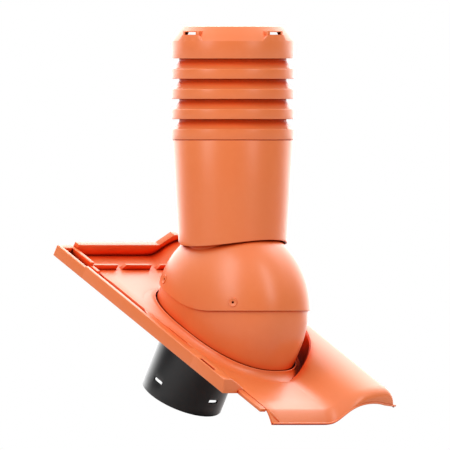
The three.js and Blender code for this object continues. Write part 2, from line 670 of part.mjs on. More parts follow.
function capLid() {
  const { bottom, shoulder, edge, top, edgeRadius, draft } = CAP;
  const inner = BAND_RADIUS - LOUVRE_WALL;
  const shelfBottom = RIB.top + SEAM;
  const shelfTop = shelfBottom + CAP_SHELF.thick;
  const outside = [[BAND_RADIUS - draft, bottom], [BAND_RADIUS, shoulder], [edgeRadius, edge], [0, top]];
  const hollow = turned([
    [0, shelfTop],
    [inner, shelfTop],
    [CAP_INSIDE.edgeRadius, edge - LOUVRE_WALL],
    [0, top - LOUVRE_WALL],
  ]);
  const underShelf = turned([
    [0, bottom - MEET],
    [inner - CAP_INSIDE.clearOfRibs - CAP_INSIDE.mouthDraft, bottom - MEET],
    [inner - CAP_INSIDE.clearOfRibs, shelfBottom],
    [0, shelfBottom],
  ]);
  const hole = disc(CAP_SHELF.inner, shelfBottom - MEET, shelfTop + MEET);
  const lid = turned([[0, bottom], ...outside]);
  const boss = acrossPrism([
    [-BOSS.footHalf, shoulder - MEET],
    [BOSS.footHalf, shoulder - MEET],
    [BOSS.topHalf, BOSS.top],
    [-BOSS.topHalf, BOSS.top],
  ]).intersect(disc(BAND_RADIUS, 0, FAR + CAP.top));
  const hood = centredBar(FAR, HOOD.halfWidth, shoulder, HOOD.top)
    .intersect(disc(HOOD.radius, 0, FAR + CAP.top));
  const { halfWidth, bottom: sill, top: lintel } = CAP_SLOT;
  const behind = centredBar(HOOD.radius - HOOD.wall, HOOD.halfWidth - HOOD.side, sill, lintel);
  const slot = centredBar(FAR, halfWidth, sill, lintel);
  const fourfold = (solid) => solid.add(solid.rotate([0, 0, 90]));
  const raised = lid.add(fourfold(boss.add(hood)));
  return raised.subtract(joined([hollow, underShelf, hole, fourfold(behind.add(slot))]));
}

const terracotta = () => new THREE.MeshStandardMaterial({ color: 0xe0703f, roughness: 0.42, metalness: 0 });
const blackPlastic = () => new THREE.MeshStandardMaterial({ color: 0x1b1b1d, roughness: 0.35, metalness: 0 });

function named(name, solid, material) {
  const mesh = new THREE.Mesh(geometryOf(solid), material);
  mesh.name = name;
  return mesh;
}

const tileFrame = new THREE.Group();
tileFrame.rotation.x = ROOF_PITCH;
tileFrame.add(named('roof_tile', roofTile(), terracotta()));
tileFrame.add(named('lower_ball', lowerBall(), terracotta()));
const stub = named('duct_stub', ductStub(), blackPlastic());
stub.position.copy(tilePoint(PIVOT.along - STUB_BACK, PIVOT.across, 0));
tileFrame.add(stub);

const chimney = new THREE.Group();
chimney.position.copy(tilePoint(PIVOT.along, PIVOT.across, PIVOT.up));
chimney.position.applyAxisAngle(new THREE.Vector3(1, 0, 0), ROOF_PITCH);
chimney.add(named('upper_dome', upperDome(), terracotta()));
chimney.add(named('tube_sleeve', tubeSleeve(), terracotta()));
chimney.add(named('louvre_head', louvreHead(), terracotta()));
chimney.add(named('cap', capLid(), terracotta()));

const roofVent = new THREE.Group();
roofVent.add(tileFrame, chimney);

export default roofVent;
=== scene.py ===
"""Roof ventilation chimney on its own roof tile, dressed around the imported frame.

Metres, +Z up. The roof falls towards -Y at 30 degrees and +X runs across it from the side lock of
the tile to its roll. The origin is the middle of the batten seat under the head of the tile. Pieces
of the tile are modelled flat, in the plane of the roof, and then tilted about the origin. Pieces of
the chimney are modelled about the upright line through the swivel.
"""
import logging
import math
from collections.abc import Callable, Iterable, Iterator, Sequence
from contextlib import contextmanager
from dataclasses import dataclass, field
from enum import Enum

import bpy
from mathutils import Matrix, Vector


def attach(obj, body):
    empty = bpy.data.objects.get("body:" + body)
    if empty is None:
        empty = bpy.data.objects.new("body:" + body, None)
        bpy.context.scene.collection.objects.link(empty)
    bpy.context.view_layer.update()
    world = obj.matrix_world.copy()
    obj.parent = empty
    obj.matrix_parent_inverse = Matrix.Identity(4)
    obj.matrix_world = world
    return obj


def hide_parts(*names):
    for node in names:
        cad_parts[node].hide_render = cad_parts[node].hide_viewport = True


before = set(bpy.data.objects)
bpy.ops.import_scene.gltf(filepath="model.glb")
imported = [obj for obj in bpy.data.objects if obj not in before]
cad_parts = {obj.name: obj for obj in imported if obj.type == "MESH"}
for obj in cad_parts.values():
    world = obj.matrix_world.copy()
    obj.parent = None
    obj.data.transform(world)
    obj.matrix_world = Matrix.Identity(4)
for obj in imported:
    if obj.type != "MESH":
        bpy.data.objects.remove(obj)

LOG = logging.getLogger("roof_vent")

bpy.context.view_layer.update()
MM = 0.001
PITCH = math.radians(30)

# Places on the tile in millimetres: the origin, and the middle of the swivel.
ALONG_0 = 32.0
ACROSS_0 = 95.0
PIVOT_ALONG = 214.0
PIVOT_ACROSS = 122.5
PIVOT_UP = 42.4

Span = tuple[float, float]
Triple = tuple[float, float, float]
Outline = list[Span]
Section = Sequence[Span]
Sizes = tuple[Span, Span, Span]
Shape = Callable[[Vector], Vector]


class Slot(Enum):
    """Material slots of the record."""

    TERRACOTTA = "terracotta"
    BLACK = "black_plastic"


class Body(Enum):
    """Bodies of the record, which the pieces ride on."""

    BASE = "base"
    CHIMNEY = "chimney"


def tile_point(along: float, across: float, up: float) -> Vector:
    """Place on the flat tile.

    Args:
        along: Millimetres down the slope from the head edge.
        across: Millimetres across from the lock edge.
        up: Millimetres square to the roof, from the underside of the lock.

    Returns:
        The place in metres, before the tile is tilted.
    """
    return Vector(((across - ACROSS_0) * MM, (ALONG_0 - along) * MM, up * MM))


TILT = Matrix.Rotation(PITCH, 4, "X")
PIVOT = TILT @ tile_point(PIVOT_ALONG, PIVOT_ACROSS, PIVOT_UP)


def mapped(tree: bpy.types.NodeTree, source: bpy.types.NodeSocket, span: Span, to: Span,
           kind: str = "LINEAR") -> bpy.types.NodeSocket:
    """Adds a node that maps a value from one span to another.

    Args:
        tree: The node tree.
        source: Socket that gives the value.
        span: The span it is taken from.
        to: The span it is brought to.
        kind: How it runs between the ends.

    Returns:
        The socket with the result.
    """
    node = tree.nodes.new("ShaderNodeMapRange")
    node.interpolation_type = kind
    for name, value in zip(("From Min", "From Max", "To Min", "To Max"), (*span, *to)):
        node.inputs[name].default_value = value
    tree.links.new(source, node.inputs["Value"])
    return node.outputs["Result"]


def reckoned(tree: bpy.types.NodeTree, operation: str, first: bpy.types.NodeSocket,
             second: bpy.types.NodeSocket | float) -> bpy.types.NodeSocket:
    """Adds a math node.

    Args:
        tree: The node tree.
        operation: Name of the operation.
        first: First value.
        second: Second value, a socket or a number.

    Returns:
        The socket with the result.
    """
    node = tree.nodes.new("ShaderNodeMath")
    node.operation = operation
    tree.links.new(first, node.inputs[0])
    if isinstance(second, float):
        node.inputs[1].default_value = second
    else:
        tree.links.new(second, node.inputs[1])
    return node.outputs[0]


@dataclass(frozen=True)
class HollowShade:
    """Painted shade that a shut-in place takes on: none while it is open_from open, its full share at
    shut_at.
    """

    reach_mm: float
    open_from: float
    shut_at: float
    share: float
    tone: str


# Painted shade: darker colours mixed in where ambient occlusion finds the place shut in, within each reach in
# millimetres.
HOLLOW_SHADES = (HollowShade(30, 0.84, 0.50, 1.00, "Deep And Shade"), HollowShade(30, 0.46, 0.26, 0.97, "Crevice Shade"),
           HollowShade(7, 0.70, 0.34, 0.85, "Crevice Shade"), HollowShade(3, 0.50, 0.30, 0.90, "Crevice Shade"))


@dataclass(frozen=True)
class Plastic:
    """Finish of a moulded plastic: through-coloured, satin, with a fine spark-eroded grain."""

    name: str
    colour: Triple
    pale: Triple
    # The deep colour tints the faint clouds and is also painted shade in wide hollows.
    deep_and_shade: Triple
    # The crevice colour is painted shade in seams and tight hollows.
    crevice_shade: Triple
    roughness: float
    grain_mm: float = 0.9
    grain_depth_mm: float = 0.1
    relief: float = 0.06
    specular: float = 0.06

    def material(self) -> bpy.types.Material:
        """Builds the material on first use.

        Returns:
            The material.
        """
        known = bpy.data.materials.get(self.name)
        if known:
            return known
        material = bpy.data.materials.new(self.name)
        material.use_nodes = True
        nodes, links = material.node_tree.nodes, material.node_tree.links
        shader = nodes["Principled BSDF"]
        shader.inputs["Specular IOR Level"].default_value = self.specular
        shader.inputs["Coat Roughness"].default_value = self.roughness
        place = nodes.new("ShaderNodeTexCoord")
        skin = nodes.new("ShaderNodeGroup")
        skin.node_tree = moulded_skin()
        links.new(place.outputs["Object"], skin.inputs["Place"])
        values = {"Colour": (*self.colour, 1), "Pale": (*self.pale, 1), "Deep And Shade": (*self.deep_and_shade, 1),
                  "Crevice Shade": (*self.crevice_shade, 1), "Roughness": self.roughness,
                  "Grain": 1 / (self.grain_mm * MM)}
        for name, value in values.items():
            skin.inputs[name].default_value = value
        links.new(skin.outputs["Colour"], shader.inputs["Base Color"])
        links.new(skin.outputs["Roughness"], shader.inputs["Roughness"])
        links.new(skin.outputs["Sheen"], shader.inputs["Coat Weight"])
        bump = nodes.new("ShaderNodeBump")
        bump.inputs["Strength"].default_value = self.relief
        bump.inputs["Distance"].default_value = self.grain_depth_mm * MM
        links.new(skin.outputs["Height"], bump.inputs["Height"])
        links.new(bump.outputs["Normal"], shader.inputs["Normal"])
        return material


def moulded_skin() -> bpy.types.NodeTree:
    """Node group of a moulded skin: faint clouds, painted shade in hollows, grain and uneven gloss.

    Returns:
        The group, built on first use.
    """
    known = bpy.data.node_groups.get("moulded_skin")
    if known:
        return known
    group = bpy.data.node_groups.new("moulded_skin", "ShaderNodeTree")
    sockets = {"INPUT": {"Place": "Vector", "Colour": "Color", "Pale": "Color", "Deep And Shade": "Color",
                         "Crevice Shade": "Color", "Roughness": "Float", "Grain": "Float"},
               "OUTPUT": {"Colour": "Color", "Roughness": "Float", "Sheen": "Float", "Height": "Float"}}
    for side, kinds in sockets.items():
        for name, kind in kinds.items():
            group.interface.new_socket(name, in_out=side, socket_type=f"NodeSocket{kind}")
    nodes, links = group.nodes, group.links
    given = nodes.new("NodeGroupInput")
    out = nodes.new("NodeGroupOutput")

    def noise(scale: float, detail: float) -> bpy.types.Node:
        """Adds a noise texture in the given place.

        Args:
            scale: Its scale.
            detail: Its detail.

        Returns:
            The node.
        """
        node = nodes.new("ShaderNodeTexNoise")
        node.inputs["Scale"].default_value = scale
        node.inputs["Detail"].default_value = detail
        links.new(given.outputs["Place"], node.inputs["Vector"])
        return node

    def mixed(share: bpy.types.NodeSocket, first: bpy.types.NodeSocket,
              second: bpy.types.NodeSocket) -> bpy.types.NodeSocket:
        """Adds a colour mix.

        Args:
            share: Share of the second colour.
            first: First colour.
            second: Second colour.

        Returns:
            The socket with the result.
        """
        node = nodes.new("ShaderNodeMix")
        node.data_type = "RGBA"
        for source, index in ((share, 0), (first, 6), (second, 7)):
            links.new(source, node.inputs[index])
        return node.outputs[2]

    def openness(reach_mm: float) -> bpy.types.NodeSocket:
        """Adds a measure of how open a place is within a distance, 0 where it is shut in.

        Args:
            reach_mm: The distance in millimetres.

        Returns:
            The socket with the measure.
        """
        node = nodes.new("ShaderNodeAmbientOcclusion")
        node.samples = 12
        node.inputs["Distance"].default_value = reach_mm * MM
        return node.outputs["AO"]

    cloud, rubbed, grain = (noise(scale, detail) for scale, detail in ((14, 3), (90, 4), (1, 2)))
    links.new(given.outputs["Grain"], grain.inputs["Scale"])
    tone = given.outputs["Colour"]
    for source, span, share, name in ((cloud, (0.35, 0.7), 0.06, "Deep And Shade"),
                                      (rubbed, (0.45, 0.75), 0.08, "Pale")):
        tone = mixed(mapped(group, source.outputs["Fac"], span, (0, share)), tone, given.outputs[name])
    opened = {reach: openness(reach) for reach in dict.fromkeys(hollow.reach_mm for hollow in HOLLOW_SHADES)}
    # Painted shade in hollows, mixed in by how shut in each place is.
    for hollow in HOLLOW_SHADES:
        share = mapped(group, opened[hollow.reach_mm], (hollow.open_from, hollow.shut_at), (0, hollow.share))
        tone = mixed(share, tone, given.outputs[hollow.tone])
    links.new(tone, out.inputs["Colour"])
    gloss = reckoned(group, "MULTIPLY", given.outputs["Roughness"],
                     mapped(group, grain.outputs["Fac"], (0.3, 0.7), (0.9, 1.12)))
    links.new(gloss, out.inputs["Roughness"])
    links.new(mapped(group, opened[HOLLOW_SHADES[0].reach_mm], (0.5, 0.9), (0, 1)), out.inputs["Sheen"])
    links.new(grain.outputs["Fac"], out.inputs["Height"])
    return group


TERRACOTTA = Plastic("terracotta_plastic", (0.72, 0.172, 0.047), (0.78, 0.24, 0.09),
                     (0.86, 0.066, 0.008), (0.08, 0.005, 0.003), 0.36)
BLACK = Plastic("black_pipe_plastic", (0.005, 0.005, 0.006), (0.02, 0.02, 0.022),
                (0.003, 0.003, 0.004), (0.003, 0.003, 0.003), 0.34)

# Puts what is modelled about the swivel in its place.
UPRIGHT = Matrix.Translation(PIVOT)
# Stands a plate on edge: its outline in Y and Z, its thickness along X.
EDGEWISE = Matrix(((0, 0, 1, 0), (1, 0, 0, 0), (0, 1, 0, 0), (0, 0, 0, 1)))


def rest() -> None:
    """Leaves edit mode and deselects every object."""
    if bpy.context.object and bpy.context.object.mode != "OBJECT":
        bpy.ops.object.mode_set(mode="OBJECT")
    bpy.ops.object.select_all(action="DESELECT")


def pick(obj: bpy.types.Object) -> None:
    """Makes one object the only selected and the active one.

    Args:
        obj: The object.
    """
    rest()
    obj.select_set(True)
    bpy.context.view_layer.objects.active = obj


def named(name: str) -> bpy.types.Object:
    """Names the object that was just added and returns it."""
    bpy.context.object.name = name
    return bpy.context.object


def linked(name: str, data: bpy.types.ID) -> bpy.types.Object:
    """Adds an object with the given data to the scene.

    Args:
        name: Name of the new object.
        data: Its mesh, light or camera.

    Returns:
        The object.
    """
    obj = bpy.data.objects.new(name, data)
    bpy.context.collection.objects.link(obj)
    return obj


@contextmanager
def editing(parts: str, selected: bool = True) -> Iterator[None]:
    """Edits the mesh of the active object.

    Args:
        parts: Kind of parts that can be selected.
        selected: Whether they are all selected at the start.

    Yields:
        Nothing, in edit mode.
    """
    bpy.ops.object.mode_set(mode="EDIT")
    bpy.ops.mesh.select_mode(type=parts)
    if selected:
        bpy.ops.mesh.select_all(action="SELECT")
    yield
    bpy.ops.object.mode_set(mode="OBJECT")


def close_up(threshold: float = 2e-6) -> None:
    """Merges doubles and turns the faces outwards, in edit mode.

    Args:
        threshold: Corners closer than this are merged, in metres.
    """
    bpy.ops.mesh.select_all(action="SELECT")
    bpy.ops.mesh.remove_doubles(threshold=threshold)
    bpy.ops.mesh.normals_make_consistent(inside=False)


def turned(name: str, profile: Section, segments: int = 128) -> bpy.types.Object:
    """Turns a closed profile about the upright axis, ring by ring.

    Args:
        name: Name of the new object.
        profile: Corners as (radius, height) in millimetres. It closes on itself unless both its
            ends lie on the axis.
        segments: Facets round the axis.

    Returns:
        The closed solid.
    """
    stops = list(profile)
    if stops[0][0] or stops[-1][0]:
        stops.append(stops[0])
    nearly_zero = 1e-4
    stops = [(max(radius, nearly_zero) * MM, height * MM) for radius, height in stops]
    rest()
    bpy.ops.mesh.primitive_circle_add(vertices=segments, radius=stops[0][0], location=(0, 0, stops[0][1]))
    obj = named(name)
    with editing("EDGE"):
        for (radius, height), (next_radius, next_height) in zip(stops, stops[1:]):
            bpy.ops.mesh.extrude_edges_move(TRANSFORM_OT_translate={"value": (0, 0, next_height - height)})
            share = next_radius / radius
            bpy.ops.transform.resize(value=(share, share, 1), center_override=(0, 0, next_height))
        close_up()
    bpy.ops.object.transform_apply()
    return obj


def reshaped(obj: bpy.types.Object, shape: Shape) -> bpy.types.Object:
    """Moves every corner of a mesh by a rule, in millimetres.

    Args:
        obj: The object, at the origin.
        shape: Gives the new place of a corner from its old one.

    Returns:
        The same object.
    """
    for vertex in obj.data.vertices:
        vertex.co = shape(vertex.co / MM) * MM
    return outward(obj)


def outward(obj: bpy.types.Object) -> bpy.types.Object:
    """Merges doubles and turns the faces of an object outwards.

    Args:
        obj: The object.

    Returns:
        The same object.
    """
    pick(obj)
    with editing("VERT"):
        close_up()
    return obj


def plate(name: str, outline: Section, bottom: float, top: float) -> bpy.types.Object:
    """Raises a flat outline to a plate.

    Args:
        name: Name of the new object.
        outline: Corners as (x, y) in millimetres.
        bottom: Height of its underside in millimetres.
        top: Height of its upper face in millimetres.

    Returns:
        The closed plate.
    """
    rest()
    bpy.ops.mesh.primitive_circle_add(vertices=len(outline), radius=1, fill_type="NGON")
    obj = named(name)
    for vertex, (x, y) in zip(obj.data.vertices, outline):
        vertex.co = Vector((x, y, bottom)) * MM
    with editing("FACE"):
        bpy.ops.mesh.extrude_region_move(TRANSFORM_OT_translate={"value": (0, 0, (top - bottom) * MM)})
        close_up()
    return obj


def bar(name: str, stops: Sequence[float]) -> bpy.types.Object:
    """Extrudes a unit square along X, with a cross-section at each stop.

    Args:
        name: Name of the new object.
        stops: Places along X in millimetres.

    Returns:
        The bar, from 0 to 1 mm in Y and in Z.
    """
    rest()
    bpy.ops.mesh.primitive_plane_add(size=MM, location=(stops[0] * MM, MM / 2, MM / 2),
                                     rotation=(0, math.pi / 2, 0))
    obj = named(name)
    bpy.ops.object.transform_apply()
    with editing("FACE"):
        for here, there in zip(stops, stops[1:]):
            bpy.ops.mesh.extrude_region_move(TRANSFORM_OT_translate={"value": ((there - here) * MM, 0, 0)})
        close_up()
    return obj


def box(name: str, low: Vector, high: Vector) -> bpy.types.Object:
    """Adds a box between two corners, in metres.

    Args:
        name: Name of the new object.
        low: Its lowest corner.
        high: Its highest corner.

    Returns:
        The box.
    """
    rest()
    bpy.ops.mesh.primitive_cube_add(size=1, location=(low + high) / 2, scale=high - low)
    obj = named(name)
    bpy.ops.object.transform_apply()
    return obj


def block(name: str, sizes: Sizes) -> bpy.types.Object:
    """Adds a box on the flat tile, given by its ends down the slope, across and square to the roof."""
    along, across, up = sizes
    return box(name, tile_point(along[1], across[0], up[0]), tile_point(along[0], across[1], up[1]))


def drum(name: str, radius: float, low: float, high: float, segments: int = 96) -> bpy.types.Object:
    """Turns a plain round cutter between two heights, in millimetres."""
    return turned(name, [(0, low), (radius, low), (radius, high), (0, high)], segments)


def modified(obj: bpy.types.Object, kind: str, **settings: object) -> bpy.types.Object:
    """Applies one modifier with the given settings.

    Args:
        obj: The object.
        kind: Type of the modifier.
        **settings: Values of its settings.

    Returns:
        The same object.
    """
    pick(obj)
    modifier = obj.modifiers.new("change", kind)
    for name, value in settings.items():
        setattr(modifier, name, value)
    bpy.ops.object.modifier_apply(modifier=modifier.name)
    return obj


def combined(obj: bpy.types.Object, other: bpy.types.Object,
             operation: str = "DIFFERENCE") -> bpy.types.Object:
    """Cuts, adds or intersects a second solid and removes it.

    Args:
        obj: The solid that stays.
        other: The solid it is combined with.
        operation: Name of the Boolean operation.

    Returns:
        The solid that stays.
    """
    modified(obj, "BOOLEAN", operation=operation, solver="EXACT", object=other)
    bpy.data.objects.remove(other)
    return obj


def rounded(obj: bpy.types.Object, width: float, steps: int = 2,
            angle: float = 32) -> bpy.types.Object:
    """Rounds the sharp edges of an object.

    Args:
        obj: The object.
        width: Width of the rounding in millimetres.
        steps: Facets across it.
        angle: Edges that turn by more than this many degrees are rounded.

    Returns:
        The same object.
    """
    return modified(obj, "BEVEL", width=width * MM, segments=steps, limit_method="ANGLE",
                    angle_limit=math.radians(angle), use_clamp_overlap=True)


def walled(obj: bpy.types.Object, wall: float) -> bpy.types.Object:
    """Gives an open surface its wall, inwards."""
    return modified(obj, "SOLIDIFY", thickness=wall * MM, offset=-1, use_even_offset=True)


def placed(obj: bpy.types.Object, matrix: Matrix) -> bpy.types.Object:
    """Moves the mesh of an object to its place in the part.

    Args:
        obj: The object.
        matrix: The move.

    Returns:
        The same object.
    """
    obj.data.transform(matrix)
    obj.data.update()
    return obj


def copied(obj: bpy.types.Object, matrix: Matrix) -> bpy.types.Object:
    """Copies an object with a mesh of its own, which is moved by a matrix."""
    return placed(linked(obj.name, obj.data.copy()), matrix)


def ringed(obj: bpy.types.Object, count: int, start: float = 0.0,
           half_turn: bool = False) -> list[bpy.types.Object]:
    """Repeats an object evenly about the upright axis.

    Args:
        obj: The object, at angle 0.
        count: How many there are in all.
        start: Degrees by which the first one is turned.
        half_turn: Whether they share out half a turn, for an object that reaches right across.

    Returns:
        The object and its copies.
    """
    pitch = (180 if half_turn else 360) / count
    turns = [Matrix.Rotation(math.radians(start + pitch * number), 4, "Z") for number in range(count)]
    copies = [copied(obj, turn) for turn in turns[1:]]
    return [placed(obj, turns[0]), *copies]


def joined(name: str, pieces: Sequence[bpy.types.Object]) -> bpy.types.Object:
    """Joins objects into the first one and names it.

    Args:
        name: Name of the whole.
        pieces: The objects.

    Returns:
        The first object, with all the others in it.
    """
    pick(pieces[0])
    for piece in pieces:
        piece.select_set(True)
    bpy.ops.object.join()
    pieces[0].name = name
    return pieces[0]


def dressed(obj: bpy.types.Object, finish: Plastic, body: Body, slot: Slot,
            angle: float = 38) -> bpy.types.Object:
    """Smooths a finished piece, gives it its finish and puts it on its body.

    Args:
        obj: The piece, in place.
        finish: Its finish.
        body: The body it rides on.
        slot: The record's material slot; not used.
        angle: Edges that turn by less than this many degrees are shaded smooth.

    Returns:
        The same piece.
    """
    pick(obj)
    bpy.ops.object.shade_smooth_by_angle(angle=math.radians(angle))
    obj.data.materials.clear()
    obj.data.materials.append(finish.material())
    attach(obj, body.value)
    LOG.info("%s: %d faces", obj.name, len(obj.data.polygons))
    return obj


def squared(angle: float, front: float, side: float, exponent: float) -> Span:
    """Point of a squared oval: exponent 2 gives an ellipse, more a fuller one."""
    cosine, sine, power = math.cos(angle), math.sin(angle), 2 / exponent
    return math.copysign(front * abs(cosine) ** power, cosine), math.copysign(side * abs(sine) ** power, sine)


def oval_point(angle: float, front: float, side: float, exponent: float, back: float = 1.0) -> Span:
    """Point of a squared oval round the swivel, on the flat tile.

    Args:
        angle: Turn from down the slope, in radians.
        front: Half size down the slope in millimetres.
        side: Half size across in millimetres.
        exponent: How square it is.
        back: Share of the half size that the rear half keeps.

    Returns:
        The place as (along, across) in millimetres.
    """
    reach, width = squared(angle, front, side, exponent)
    return PIVOT_ALONG + reach * (back if reach < 0 else 1.0), PIVOT_ACROSS + width


def flat_xy(along: float, across: float) -> Span:
    """Millimetres in the flat tile's plane from a place on the tile."""
    return across - ACROSS_0, ALONG_0 - along


@dataclass
class Swivel:
    """Sizes that the two shells of the swivel and the collar round them share."""

    radius: float = 111.6
    half_width: float = 77.0
    exponent: float = 2.4
    dome_wall: float = 2.2
    slide_gap: float = 0.7
    ball_wall: float = 2.4
    ring_exponent: float = 2.5
    back: float = math.cos(math.radians(12))
    steps: int = 60
    segments: int = 144

    @property
    def ball_radius(self) -> float:
        """Outer radius of the ball."""
        return self.radius - self.dome_wall - self.slide_gap

    @property
    def ball_half_width(self) -> float:
        """Outer half width of the ball."""
        return self.half_width - self.dome_wall - self.slide_gap

    def body(self, name: str, inset: float) -> bpy.types.Object:
        """Turns a closed body about the swivel axis, which is put along X.

        Args:
            name: Name of the new object.
            inset: Millimetres inside the outer face of the dome.

        Returns:
            The body, with the swivel at the origin.
        """
        radius, half_width = self.radius - inset, self.half_width - inset
        turns = [math.pi * (step / self.steps - 0.5) for step in range(1, self.steps)]
        middle = [squared(turn, radius, half_width, self.exponent) for turn in turns]
        body = turned(name, [(0, -half_width), *middle, (0, half_width)], self.segments)
        return placed(body, Matrix.Rotation(math.pi / 2, 4, "Y"))

    def ring(self, angle: float, offset: float) -> Span:
        """Point of the ball's outline on the flat tile, grown by an offset."""
        front, side = self.ball_radius + offset, self.ball_half_width + offset
        return oval_point(angle, front, side, self.ring_exponent, self.back)

    def ring_outline(self, offset: float) -> Outline:
        """Outline of the ball on the flat tile as (x, y) in millimetres, grown by an offset."""
        return [flat_xy(*self.ring(2 * math.pi * i / self.segments, offset)) for i in range(self.segments)]


@dataclass
class Chimney:
    """Dome, neck, sleeve and louvres, which the swivel levels. Heights are above the swivel."""

    swivel: Swivel = field(default_factory=Swivel)
    rim_drop: float = 1.0
    rim_rise: float = math.radians(23.5)
    rim_corner: float = 1.5
    rim_fillet: float = 156.0
    rim_steps: int = 24
    reach: float = 300.0
    neck: Triple = (61.0, 2.5, 150.0)
    neck_foot: float = 72.0
    sleeve_top: Span = (220.8, 78.8)
    sleeve_bottom: Span = (86.9, 70.5)
    wave: float = 4.1
    wave_fade: float = 16.0
    sleeve_wall: float = 2.5
    seam: float = 0.3
    shelf: Triple = (3.0, 20.0, 2.0)
    base: float = 221.9
    count: int = 4
    pitch: float = 26.2
    band: Triple = (13.0, 80.6, 1.1)
    throat: Span = (69.4, 18.0)
    throat_step: float = 0.4
    inside_drop: Span = (1.0, 2.0)
    flare_rise: float = 11.0
    flare_hollow: float = 1.38
    flare_steps: int = 7
    wall: float = 2.4
    spigot: tuple[float, float, float, float] = (75.4, 2.3, 10.0, 3.0)
    rib: tuple[float, float, float, float] = (61.5, 68.3, 3.0, 345.0)
    seats: Section = ((-135.0, 10.0), (-45.0, 10.0), (135.0, 40.0), (45.0, 40.0))
    seat_profile: Section = ((2.0, -0.9), (6.2, -0.9), (6.2, 0.1), (5.8, 0.8), (4.8, 0.8), (4.4, 0.3),
                             (2.6, 0.4), (2.0, 0.2))
    pilot: Span = (1.6, 4.0)

    def build(self) -> None:
        """Builds and dresses every piece above the swivel."""
        self.dome()
        self.screw_seats()
        self.sleeve()
        self.louvres()

    def rim_cutter(self) -> bpy.types.Object:
        """Everything under the rim of the dome: level down the slope, rising up the slope.

        Returns:
            The cutter, about the swivel.
        """
        tangent = self.rim_fillet * math.tan(self.rim_rise / 2)
        start = -self.rim_corner - tangent
        turns = [self.rim_rise * step / self.rim_steps for step in range(self.rim_steps + 1)]
        bend = [(start + self.rim_fillet * math.sin(turn),
                 -self.rim_drop + self.rim_fillet * (1 - math.cos(turn))) for turn in turns]
        reach = self.reach
        y, z = bend[-1]
        end = (y + reach, z + reach * math.tan(self.rim_rise))
        outline = [(-reach, -reach), (y + reach, -reach), end, *reversed(bend), (-reach, -self.rim_drop)]
        return placed(plate("rim_cutter", outline, -reach, reach), EDGEWISE)

    def dome(self) -> None:
        """Upper shell with its neck."""
        (radius, wall, top), (pilot, depth) = self.neck, self.pilot
        shell = self.swivel.body("dome_shell", 0)
        combined(shell, self.swivel.body("inside", self.swivel.dome_wall))
        combined(shell, self.rim_cutter())
        combined(shell, drum("bore", radius - wall, 0, top))
        for azimuth, height in self.seats:
            hole = drum("pilot_hole", pilot, -depth, depth, 32)
            combined(shell, placed(hole, self.seat_place(azimuth, height)))
        rounded(shell, 0.5, angle=50)
        inner, foot = radius - wall, self.neck_foot
        neck = turned("neck", [(radius, foot), (radius, top), (inner, top), (inner, foot)], 96)
        dome = placed(joined("swivel_dome", [shell, neck]), UPRIGHT)
        dressed(dome, TERRACOTTA, Body.CHIMNEY, Slot.TERRACOTTA, angle=30)
        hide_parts("upper_dome")

    def shell_point(self, azimuth: float, height: float) -> tuple[Vector, Vector]:
        """Point of the dome's outer face and its normal.

        Args:
            azimuth: Degrees round from +X.
            height: Millimetres above the swivel.

        Returns:
            The point in millimetres from the swivel, and the outward normal.
        """
        power, radius, width = self.swivel.exponent, self.swivel.radius, self.swivel.half_width
        way = Vector((math.cos(math.radians(azimuth)), math.sin(math.radians(azimuth)), 0))
        low, high = 0.0, 2 * radius
        for _ in range(40):
            reach = (low + high) / 2
            away = math.hypot(reach * way.y, height)
            inside = (away / radius) ** power + (abs(reach * way.x) / width) ** power < 1
            low, high = (reach, high) if inside else (low, reach)
        point = way * low + Vector((0, 0, height))
        away = math.hypot(point.y, point.z)
        pull = power * (away / radius) ** (power - 1) / radius / away
        along = math.copysign(power * (abs(point.x) / width) ** (power - 1) / width, point.x)
        return point, Vector((along, point.y * pull, point.z * pull)).normalized()

    def seat_place(self, azimuth: float, height: float) -> Matrix:
        """Place of a screw seat from the swivel, its axis square to the dome."""
        point, normal = self.shell_point(azimuth, height)
        return Matrix.Translation(point * MM) @ normal.to_track_quat("Z", "Y").to_matrix().to_4x4()

    def screw_seats(self) -> None:
        """Round seats where the screws that clamp the shells go in, with no screws."""
        pattern = rounded(turned("seat_pattern", self.seat_profile, 40), 0.12, angle=25)
        for number, (azimuth, height) in enumerate(self.seats, 1):
            seat = copied(pattern, UPRIGHT @ self.seat_place(azimuth, height))
            seat.name = f"screw_seat_{number}"
            dressed(seat, TERRACOTTA, Body.CHIMNEY, Slot.TERRACOTTA)
        bpy.data.objects.remove(pattern)

    def sleeve(self) -> None:
        """Tapered outer tube with its wavy lower edge and the shelf inside that rests on the neck."""
        (top, top_radius), (bottom, bottom_radius) = self.sleeve_top, self.sleeve_bottom
        neck_radius, neck_wall, neck_top = self.neck
        thick, skirt_depth, skirt_wall = self.shelf
        taper = (top_radius - bottom_radius) / (top - bottom)
        wall, seam, fade = self.sleeve_wall, self.seam, self.wave_fade

        def radius_at(height: float) -> float:
            """Outer radius at a height."""
            return bottom_radius + taper * (height - bottom)

        shelf_bottom, skirt = neck_top + seam, neck_radius + seam
        shelf_top, bore = shelf_bottom + thick, neck_radius - neck_wall
        rows = [bottom + fade * share for share in (0.25, 0.5, 0.75, 1)]
        profile = [(bottom_radius, bottom), *((radius_at(row), row) for row in rows),
                   (radius_at(neck_top), neck_top), (top_radius, top), (top_radius - wall, top),
                   (radius_at(shelf_top) - wall, shelf_top), (bore, shelf_top), (bore, shelf_bottom),
                   (skirt, shelf_bottom), (skirt, shelf_bottom - skirt_depth),
                   (skirt + skirt_wall, shelf_bottom - skirt_depth), (skirt + skirt_wall, shelf_bottom),
                   (radius_at(shelf_bottom) - wall, shelf_bottom),
                   *((radius_at(row) - wall, row) for row in reversed(rows)), (bottom_radius - wall, bottom)]
        sleeve = turned("tube", profile)

